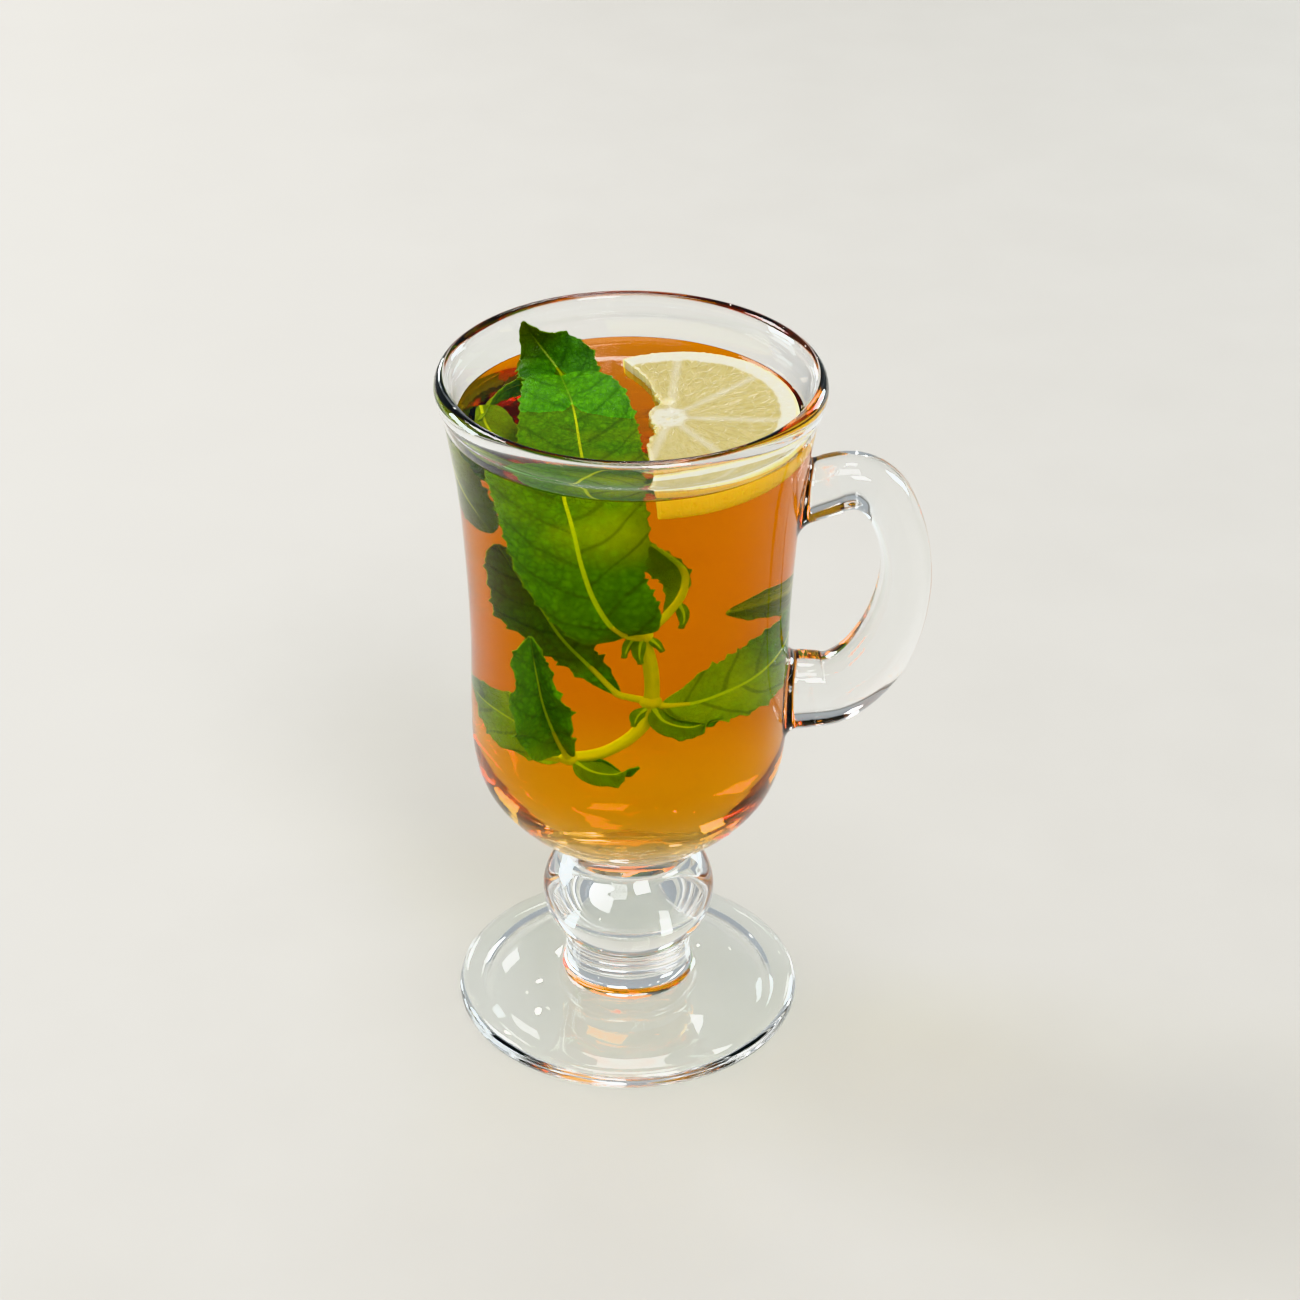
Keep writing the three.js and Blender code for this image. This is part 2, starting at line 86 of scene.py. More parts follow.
# Sizes of the contents
TEA_LEVEL = 137
TEA_OVERLAP = 0.08
MENISCUS = 1.0
MENISCUS_REACH = 0.9
LEMON_RADIUS = 25.2
LEMON_THICKNESS = 5
LEMON_CENTRE = (7.4, -1.8, 138.2)
LEMON_SLOPE = (0.072, 0.072)
ARC_START = -97
ARC_END = 111
CUT_SIDE = [(-4.1, 14.9), (-2.8, 9.9), (-1.6, 6.4), (-3.8, 2.7), (-2.6, -3.2), (-4.2, -9.1),
            (-3.5, -18)]
SEGMENT_ANGLE = 47
FIRST_MEMBRANE = -119
RIND = 3.5
ZEST = 0.7
LEMON_FREEBOARD = 0.35
LEMON_GRID = 0.5
CORE_RADIUS = 2.6
PIT = (-0.3, 6.0)

# The mug's axis stands at this x of the frame
MUG_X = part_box("glass")[0].x + LIP_RADIUS * MM


def place(x, y, z):
    return Vector((MUG_X + x * MM, y * MM, z * MM))


# Curves


def spline_at(knots, share, evenly=False):
    """A point of a Catmull-Rom curve through the knots, at a share of its run from 0 to 1."""
    last = len(knots) - 1
    span = min(int(share * last), last - 1)
    part = share * last - span
    one, two = knots[span], knots[span + 1]
    before = knots[span - 1] if span > 0 else 2 * one - two
    after = knots[span + 2] if span + 2 <= last else 2 * two - one
    power = 0 if evenly else 0.5
    gap_in, gap, gap_out = (
        max(np.linalg.norm(b - a) ** power, 1e-4)
        for a, b in ((before, one), (one, two), (two, after))
    )
    leave = ((one - before) / gap_in - (two - before) / (gap_in + gap) + (two - one) / gap) * gap
    arrive = ((two - one) / gap - (after - one) / (gap + gap_out) + (after - two) / gap_out) * gap
    square = -3 * one + 3 * two - 2 * leave - arrive
    cube = 2 * one - 2 * two + leave + arrive
    return one + leave * part + square * part**2 + cube * part**3


def curve(knots, steps, evenly=True):
    """The curve as steps + 1 points."""
    knots = [np.array(knot, float) for knot in knots]
    return [spline_at(knots, step / steps, evenly) for step in range(steps + 1)]


def smooth_step(value, low, high):
    share = min(max((value - low) / (high - low), 0.0), 1.0)
    return share * share * (3 - 2 * share)


# Meshes


def add_to_scene(piece):
    bpy.context.scene.collection.objects.link(piece)
    return piece


def new_piece(name, built, material, node):
    """Makes an object that rides on the mug, takes a material and stands for a solid."""
    mesh = bpy.data.meshes.new(name)
    built.to_mesh(mesh)
    built.free()
    mesh.shade_smooth()
    mesh.materials.append(material)
    piece = add_to_scene(bpy.data.objects.new(name, mesh))
    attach(piece, "root")
    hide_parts(node)


def add_points(mesh, points):
    return [mesh.verts.new(place(*point)) for point in points]


def add_strip(mesh, ring, following):
    """Quads between two closed rings of the same length."""
    for index, vertex in enumerate(ring):
        after = (index + 1) % len(ring)
        mesh.faces.new((vertex, ring[after], following[after], following[index]))


def add_strips(mesh, rings):
    for ring, following in zip(rings, rings[1:]):
        add_strip(mesh, ring, following)


def add_fan(mesh, middle, ring):
    for index, vertex in enumerate(ring):
        mesh.faces.new((middle, vertex, ring[(index + 1) % len(ring)]))


def circle(radius):
    angles = [2 * math.pi * side / SIDES for side in range(SIDES)]
    return [(radius * math.cos(a), radius * math.sin(a)) for a in angles]


def turned_ring(mesh, radius, height):
    return add_points(mesh, [(x, y, height) for x, y in circle(radius)])


def mark(layer, vertices, value):
    for vertex in vertices:
        vertex[layer] = value


# Glass: outlines as radius and height


def foot_outline():
    underside = curve([(0, UNDERSIDE_DOME), (16, 3.6), (27, 1.6), (REST_RING_INNER, 0)], 60)
    edge = curve(
        [(REST_RING_OUTER, 0), (FOOT_RADIUS - 0.4, 0.9), (FOOT_RADIUS, 2.2),
         (FOOT_RADIUS - 0.5, 3.5), (FOOT_RADIUS - 1.6, FOOT_EDGE)],
        40,
    )
    start = np.array((NECK_RADIUS + 1.6, FOOT_CROWN - 0.6))
    pull = np.array((NECK_RADIUS, FOOT_CROWN), float)
    end = np.array((NECK_RADIUS, FOOT_CROWN + 2), float)
    shares = np.linspace(0, 1, 9)
    collar = [start * (1 - t) ** 2 + 2 * pull * t * (1 - t) + end * t**2 for t in shares]
    rise = curve([edge[-1], (28, 4.95), (21, 6.1), tuple(start)], 16)[1:-1]
    return underside + edge + rise + collar


def knop_outline():
    meets = math.acos((NECK_RADIUS - 0.1) / KNOP_RADIUS)
    angles = np.linspace(-meets, meets, 60)
    return [
        np.array((KNOP_RADIUS * math.cos(a), KNOP_CENTRE + KNOP_HALF_HEIGHT * math.sin(a)))
        for a in angles
    ]


def outer_wall():
    return curve(
        [(NECK_RADIUS - 0.2, BOWL_BOTTOM), (19.1, 44), (25.3, 49.9), (29.8, 56.2), (31.8, 64),
         (BOWL_RADIUS + 0.1, 74), (BOWL_RADIUS, 90), (32.7, 107), (34.1, 124),
         (36.8, MUG_HEIGHT - LIP_BAND - 0.2)],
        260,
    )


def lip_outline():
    band = MUG_HEIGHT - LIP_BAND
    return curve(
        [(LIP_RADIUS - 0.7, band + 0.4), (LIP_RADIUS, band + 2.6), (LIP_RADIUS - 0.4, MUG_HEIGHT - 1),
         (LIP_RADIUS - 1.6, MUG_HEIGHT), (LIP_RADIUS - 2.8, MUG_HEIGHT - 0.6)],
        60,
    )


def inner_wall():
    return curve(
        [(0, FLOOR_HEIGHT), (9, 49.4), (17, 51.4), (23.2, 55.2), (27.3, 61), (29.1, 69),
         (BOWL_RADIUS - WALL, 90), (30.2, 107), (31.8, 124), (33.7, TEA_LEVEL),
         (34.7, MUG_HEIGHT - 2.2)],
        300,
    )


def softened(outline, softening):
    """The outline with its creases rounded, evenly sampled, its two ends kept."""
    outline = np.array(outline)
    steps = np.linalg.norm(np.diff(outline, axis=0), axis=1)
    run = np.concatenate(([0], np.cumsum(steps)))
    even = np.arange(0, run[-1], 0.15)
    samples = np.stack([np.interp(even, run, outline[:, axis]) for axis in (0, 1)], 1)
    spread = np.arange(-12, 13)
    weights = np.exp(-0.5 * (spread * 0.15 / softening) ** 2)
    weights /= weights.sum()
    padded = np.concatenate((samples[:1].repeat(12, 0), samples, samples[-1:].repeat(12, 0)))
    smooth = np.stack([np.convolve(padded[:, axis], weights, "valid") for axis in (0, 1)], 1)
    smooth[0], smooth[-1] = outline[0], outline[-1]
    return smooth


def thinned(outline, most_turn=math.radians(5), most_step=2.2):
    """Keeps the points that a turn, a long stretch or the waterline needs."""
    kept = [outline[0]]
    turn = run = 0.0
    for index in range(1, len(outline) - 1):
        into = outline[index] - outline[index - 1]
        onward = outline[index + 1] - outline[index]
        cross = into[0] * onward[1] - into[1] * onward[0]
        turn += abs(math.atan2(cross, float(np.dot(into, onward))))
        run += float(np.linalg.norm(into))
        at_waterline = into[1] < 0 and abs(outline[index][1] - TEA_LEVEL - MENISCUS) < 0.16
        if turn > most_turn or run > most_step or at_waterline:
            kept.append(outline[index])
            turn = run = 0.0
    kept.append(outline[-1])
    return kept


GLASS_OUTLINE = softened(
    foot_outline() + knop_outline() + outer_wall() + lip_outline() + inner_wall()[::-1],
    SOFTENING,
)
CREST = int(np.argmax(GLASS_OUTLINE[:, 1]))
BOWL_OUTSIDE = np.array([p for p in GLASS_OUTLINE[:CREST] if p[1] > BOWL_BOTTOM + 2])
BOWL_INSIDE = GLASS_OUTLINE[CREST:][::-1]


def outer_radius(height):
    return float(np.interp(height, BOWL_OUTSIDE[:, 1], BOWL_OUTSIDE[:, 0]))


def inner_radius(height):
    return float(np.interp(height, BOWL_INSIDE[:, 1], BOWL_INSIDE[:, 0]))


# Handle: the middle line of its strap, and what each knot adds to its half depth and half width

HANDLE_LINE = [
    np.array((x, 0, z), float)
    for x, z in (
        (28.5, HANDLE_TOP - 3.2), (34.5, HANDLE_TOP - 1.4), (40, HANDLE_TOP + 1.6),
        (45, HANDLE_TOP + 2), (49.6, HANDLE_TOP - 0.8), (52.8, 114.6),
        (HANDLE_REACH - HANDLE_HALF_DEPTH, 106), (HANDLE_REACH - HANDLE_HALF_DEPTH - 0.4, 97.5),
        (51.6, 88), (47, 80.6), (41, HANDLE_BOTTOM + 0.6), (35, HANDLE_BOTTOM),
        (28, HANDLE_BOTTOM - 0.8),
    )
]
HANDLE_THICKENING = [2.4, 1.2, 0.3, 0, -0.1, -0.1, 0, 0.4, 1, 1.4, 1.9, 2.5, 3.6]
HANDLE_WIDENING = [1.5, 0.7, 0.1, 0, 0, 0, 0, 0, 0.1, 0.2, 0.6, 1.3, 2.3]


def handle_section(share):
    """Centre, the way along, and the offsets of the section's points, at a share of the line."""
    centre = spline_at(HANDLE_LINE, share)
    ahead, behind = min(share + 0.002, 1), max(share - 0.002, 0)
    along = spline_at(HANDLE_LINE, ahead) - spline_at(HANDLE_LINE, behind)
    along /= np.linalg.norm(along)
    outward = np.array((along[2], 0, -along[0]))
    knots = np.linspace(0, 1, len(HANDLE_LINE))
    half_depth = HANDLE_HALF_DEPTH + np.interp(share, knots, HANDLE_THICKENING)
    half_width = HANDLE_HALF_WIDTH + np.interp(share, knots, HANDLE_WIDENING)
    offsets = []
    for side in range(HANDLE_SIDES):
        angle = 2 * math.pi * side / HANDLE_SIDES
        deep, wide = math.cos(angle), math.sin(angle)
        power = 2 / HANDLE_ROUNDNESS
        deep = math.copysign(abs(deep) ** power, deep) * half_depth
        wide = math.copysign(abs(wide) ** power, wide) * half_width
        offsets.append(outward * deep + np.array((0, wide, 0)))
    return centre, along, offsets


def clearance(point):
    return math.hypot(point[0], point[1]) - outer_radius(point[2])


def seated(point, inward, gap):
    """Slides a point along a direction until it stands a gap off the bowl's outer wall."""
    near, far = -8.0, 10.0
    for _ in range(30):
        middle = (near + far) / 2
        if clearance(point + inward * middle) > gap:
            near = middle
        else:
            far = middle
    return point + inward * near


def fillet_rings(share, towards_start):
    """Rings that spread from the strap's section until they lie flat on the wall."""
    centre, along, offsets = handle_section(share)
    inward = -along if towards_start else along
    rings = []
    for step in range(FILLET_RINGS + 1):
        angle = math.pi / 2 * step / FILLET_RINGS
        spread = HANDLE_FILLET * (1 - math.cos(angle))
        gap = HANDLE_FILLET * (1 - math.sin(angle))
        ring = []
        for offset in offsets:
            wider = offset * (1 + spread / np.linalg.norm(offset))
            ring.append(seated(centre + wider, inward, gap))
        rings.append(ring)
    return rings


def handle_ring(share):
    centre, _, offsets = handle_section(share)
    return [centre + offset for offset in offsets]


def handle_rings():
    """All the strap's rings, from the wall at its top to the wall at its bottom."""
    shares = [step / HANDLE_STATIONS for step in range(HANDLE_STATIONS + 1)]
    room = HANDLE_FILLET + 0.4
    clear = [s for s in shares if min(clearance(point) for point in handle_ring(s)) > room]
    top = fillet_rings(clear[0], True)[::-1]
    bottom = fillet_rings(clear[-1], False)
    return top + [handle_ring(share) for share in clear] + bottom


def inside_loop(point, loop):
    """True if a point of the plane is inside a closed loop of points."""
    inside = False
    for (x1, y1), (x2, y2) in zip(loop, loop[1:] + loop[:1]):
        if (y1 > point[1]) != (y2 > point[1]):
            if point[0] < x1 + (point[1] - y1) * (x2 - x1) / (y2 - y1):
                inside = not inside
    return inside


def open_wall(mesh, ring):
    """Takes the wall's faces away where the strap meets it, and returns the edges of the hole."""
    loop = [(point[1], point[2]) for point in ring]
    middle = np.mean(loop, axis=0)
    outward = [np.array(point) - middle for point in loop]
    grown = [tuple(middle + arm * (1 + HOLE_MARGIN / np.linalg.norm(arm))) for arm in outward]
    cut = []
    for face in mesh.faces:
        if len(face.verts) != 4:
            continue
        points = [((v.co.x - MUG_X) / MM, v.co.y / MM, v.co.z / MM) for v in face.verts]
        outside = all(
            x > 20 and math.hypot(x, y) > outer_radius(z) - WALL / 3 for x, y, z in points
        )
        if outside and any(inside_loop((y, z), grown) for _, y, z in points):
            cut.append(face)
    edges = {edge for face in cut for edge in face.edges}
    kept = [edge for edge in edges if any(face not in cut for face in edge.link_faces)]
    bmesh.ops.delete(mesh, geom=cut, context="FACES")
    return kept


def calm_share(height):
    """1 on the bowl's outer wall, which mirrors less than the lip, the knop and the foot."""
    below_lip = 1 - smooth_step(height, MUG_HEIGHT - 4.5, MUG_HEIGHT - 2)
    return smooth_step(height, 55, 66) * below_lip


def glass_mesh():
    mesh = bmesh.new()
    wet = mesh.verts.layers.float.new("wet")
    calm = mesh.verts.layers.float.new("calm")
    rings = []
    outline = thinned(GLASS_OUTLINE)
    crest = max(range(len(outline)), key=lambda index: outline[index][1])
    bottom, top = add_points(mesh, [(0, 0, outline[0][1]), (0, 0, outline[-1][1])])
    mark(wet, [top], 1)
    for index, (radius, height) in enumerate(outline[1:-1], 1):
        rings.append(turned_ring(mesh, radius, height))
        mark(wet, rings[-1], float(index > crest and height < TEA_LEVEL + MENISCUS))
        mark(calm, rings[-1], calm_share(height) if index < crest else 0)
    add_fan(mesh, bottom, rings[0])
    add_strips(mesh, rings)
    add_fan(mesh, top, rings[-1])
    strap = handle_rings()
    holes = [open_wall(mesh, strap[0]), open_wall(mesh, strap[-1])]
    strap_rings = [add_points(mesh, ring) for ring in strap]
    add_strips(mesh, strap_rings)
    for hole, ring in zip(holes, (strap_rings[0], strap_rings[-1])):
        ring_edges = [mesh.edges.get((a, b)) for a, b in zip(ring, ring[1:] + ring[:1])]
        bmesh.ops.triangle_fill(mesh, use_beauty=True, edges=hole + ring_edges, normal=(1, 0, 0))
    bmesh.ops.recalc_face_normals(mesh, faces=mesh.faces)
    open_edges = sum(1 for edge in mesh.edges if len(edge.link_faces) != 2)
    if open_edges:
        print("glass has open edges:", open_edges)
    return mesh


# Lemon: where a place on the round lies, and how high its cut face stands there


def lemon_point(x, y, z):
    """A place of the round drawn flat about its middle, tilted and floated at its place."""
    tilt_y = math.atan(LEMON_SLOPE[1])
    tilt_x = -math.atan(LEMON_SLOPE[0])
    y, z = y * math.cos(tilt_y) - z * math.sin(tilt_y), y * math.sin(tilt_y) + z * math.cos(tilt_y)
    x, z = x * math.cos(tilt_x) + z * math.sin(tilt_x), z * math.cos(tilt_x) - x * math.sin(tilt_x)
    return LEMON_CENTRE[0] + x, LEMON_CENTRE[1] + y, LEMON_CENTRE[2] + z


def lemon_outline():
    """The slice's edge, evenly sampled: the rind's arc, then the cut side, which is ragged."""
    angles = np.radians(np.linspace(ARC_START, ARC_END, 260))
    arc = [np.array((LEMON_RADIUS * math.cos(a), LEMON_RADIUS * math.sin(a))) for a in angles]
    corners = [arc[-1]] + [np.array(corner, float) for corner in CUT_SIDE] + [arc[0]]
    cut = curve(corners, 170, evenly=False)[1:-1]
    ragged = []
    for point in cut:
        near_core = math.exp(-((np.linalg.norm(point) - 4) ** 2) / 30)
        shake = noise.noise(Vector((point[0] * 0.8, point[1] * 1.1, 3.1)))
        fine = noise.noise(Vector((point[0] * 2.6, point[1] * 2.9, 7.7)))
        reach = np.array((0.35 + 0.75 * near_core, 0.25 * near_core))
        ragged.append(point + reach * (shake + 0.6 * fine))
    return arc + ragged


def membrane_gap(x, y):
    """The distance from a place to the nearest membrane between two segments."""
    angle = (math.degrees(math.atan2(y, x)) - FIRST_MEMBRANE) % 360
    share = (angle % SEGMENT_ANGLE) / SEGMENT_ANGLE
    nearest = min(share, 1 - share) * SEGMENT_ANGLE
    return math.hypot(x, y) * math.sin(math.radians(min(nearest, 60)))


def flesh_share(x, y):
    """1 in the flesh of a segment, 0 on its membranes, the pith and the core."""
    radius = math.hypot(x, y)
    inner = LEMON_RADIUS - RIND
    wobble = 0.5 * noise.noise(Vector((x * 0.35, y * 0.35, 1.7)))
    within = smooth_step(inner + wobble - radius, 0, 0.9)
    beyond_core = smooth_step(radius, CORE_RADIUS - 0.2 + wobble, CORE_RADIUS + 1.6 + wobble)
    corner = smooth_step(membrane_gap(x, y), 0.1, 1.6)
    return within * beyond_core * corner


def sac_relief(x, y):
    """The flesh's juice sacs: long cells that run out from the core."""
    radius = math.hypot(x, y)
    angle = math.atan2(y, x)
    across = angle * 9.5
    cell = noise.voronoi(Vector((across + 0.5 * math.sin(radius * 0.6), radius * 0.28, 4.2)))[0]
    return cell[1] - cell[0]


def lemon_height(x, y):
    """The relief of the cut face: sunk flesh, raised membranes, a torn core and a pit."""
    flesh = flesh_share(x, y)
    rough = 0.1 * noise.noise(Vector((x * 0.9, y * 0.9, 5.5)))
    radius = math.hypot(x, y)
    core = 0.5 * math.exp(-((radius / 1.5) ** 2)) * (0.4 + noise.noise(Vector((x, y, 2.2))))
    core += 0.7 * math.exp(-(((x - PIT[0]) ** 2 + (y - PIT[1]) ** 2) / 0.8))
    sacs = 0.1 * min(sac_relief(x, y), 0.8)
    height = -0.12 * flesh + flesh * sacs + rough * (1 - flesh) - core
    level = lemon_top(LEMON_CENTRE[0] + x, LEMON_CENTRE[1] + y) - TEA_LEVEL
    rise = max(LEMON_FREEBOARD + 0.25 - level, 0)
    return height + rise


def lemon_inner_points(loop):
    """Places inside the slice's outline, in rows of a triangular grid."""
    edges_x, edges_y = np.array(loop).T
    inner = []
    for row in range(int(2 * LEMON_RADIUS / (LEMON_GRID * 0.866)) + 2):
        y = -LEMON_RADIUS + row * LEMON_GRID * 0.866
        for column in range(int(LEMON_RADIUS * 1.5 / LEMON_GRID)):
            x = -10.0 + (column + 0.5 * (row % 2)) * LEMON_GRID
            nearest = np.min((edges_x - x) ** 2 + (edges_y - y) ** 2)
            if nearest > (LEMON_GRID * 0.7) ** 2 and inside_loop((x, y), loop):
                inner.append((x, y))
    return inner


def inset(x, y, amount):
    """A place of the round moved towards its middle."""
    radius = max(math.hypot(x, y), 1e-6)
    return x * (1 - amount / radius), y * (1 - amount / radius)


def lemon_mesh():
    """A fine sheet over the cut face, a wall down its edge and the same sheet as underside."""
    loop = [tuple(point) for point in lemon_outline()]
    count = len(loop)
    points = [Vector(point) for point in loop + lemon_inner_points(loop)]
    boundary = [(i, (i + 1) % count) for i in range(count)]
    flat, _, faces, _, _, _ = delaunay_2d_cdt(points, boundary, [], 1, 1e-5)
    on_rind = [
        smooth_step(math.hypot(x, y), LEMON_RADIUS - 1.5, LEMON_RADIUS - 0.2) for x, y in loop
    ]
    mesh = bmesh.new()
    layer = mesh.verts.layers.float_vector.new("round")

    def add(x, y, depth):
        vertex = mesh.verts.new(place(*lemon_point(x, y, depth)))
        vertex[layer] = (x, y, depth)
        return vertex

    top = []
    for index, (x, y) in enumerate(flat):
        height = lemon_height(x, y)
        if index < count:
            x, y = inset(x, y, 0.35 * on_rind[index])
            height -= 0.12
        top.append(add(x, y, height))
    for face in faces:
        mesh.faces.new([top[i] for i in face])
    above = top[:count]
    for level in (0.06, 0.15, 0.3, 0.45, 0.6, 0.74, 0.86, 0.95):
        ring = []
        for index, (x, y) in enumerate(loop):
            bow = 0.32 * (2 * abs(level - 0.5)) ** 5 * on_rind[index]
            torn = (1 - on_rind[index]) * 0.35
            torn *= noise.noise(Vector((x * 0.7, y * 0.7, level * 5)))
            ring.append(add(*inset(x, y, bow + torn), -LEMON_THICKNESS * level))
        add_strip(mesh, above, ring)
        above = ring
    rim = [inset(x, y, 0.45 * on_rind[i]) for i, (x, y) in enumerate(loop)]
    base = [add(x, y, -LEMON_THICKNESS) for x, y in rim]
    add_strip(mesh, above, base)
    under = base + [add(x, y, -LEMON_THICKNESS - lemon_height(x, -y)) for x, y in flat[count:]]
    for face in faces:
        mesh.faces.new([under[i] for i in reversed(face)])
    bmesh.ops.recalc_face_normals(mesh, faces=mesh.faces)
    return mesh


def lemon_top(x, y):
    """The height of the slice's flat face, before its relief."""
    rise_x = LEMON_SLOPE[0] * (x - LEMON_CENTRE[0])
    rise_y = LEMON_SLOPE[1] * (y - LEMON_CENTRE[1])
    return LEMON_CENTRE[2] + rise_x + rise_y


# Mint: the same ribs and blades as the solids, with teeth, veins and puckers added

LEAF_THICKNESS = 0.7
LEAF_END = 0.5
LEAF_SHOULDER = 0.75
WALL_CLEARANCE = 0.95
SUNK_DEPTH = 1.5
STEM_RADIUS = 1.15
PETIOLE_RADIUS = 0.85
NODE_RADIUS = 1.8
TOOTH_SPACING = 3.0
TOOTH_DEPTH = 2.3
VEIN_SPACING = 7.2
PUCKER = 0.42
WIDEST_LEAF = 12.4
LEAF_STEP, FINE_LEAF_STEP, LEAFLET_STEP = 0.46, 0.42, 0.4  # between the points of a leaf

# The stem's joints, where the leaves' stalks start
LOW_JOINT = (-9.4, -7, 67.8)
MIDDLE_JOINT = (3.2, -5, 80.9)
TOP_JOINT = (1.9, -7, 97.4)
JOINTS = (LOW_JOINT, MIDDLE_JOINT, TOP_JOINT)
MINT_STEM = [(-13.4, -6.2, 67.6), LOW_JOINT, (-4.7, -6.2, 68.6), (-0.8, -5.4, 71.2),
             (2, -5, 75.2), MIDDLE_JOINT, (3.2, -6, 88.6), TOP_JOINT]

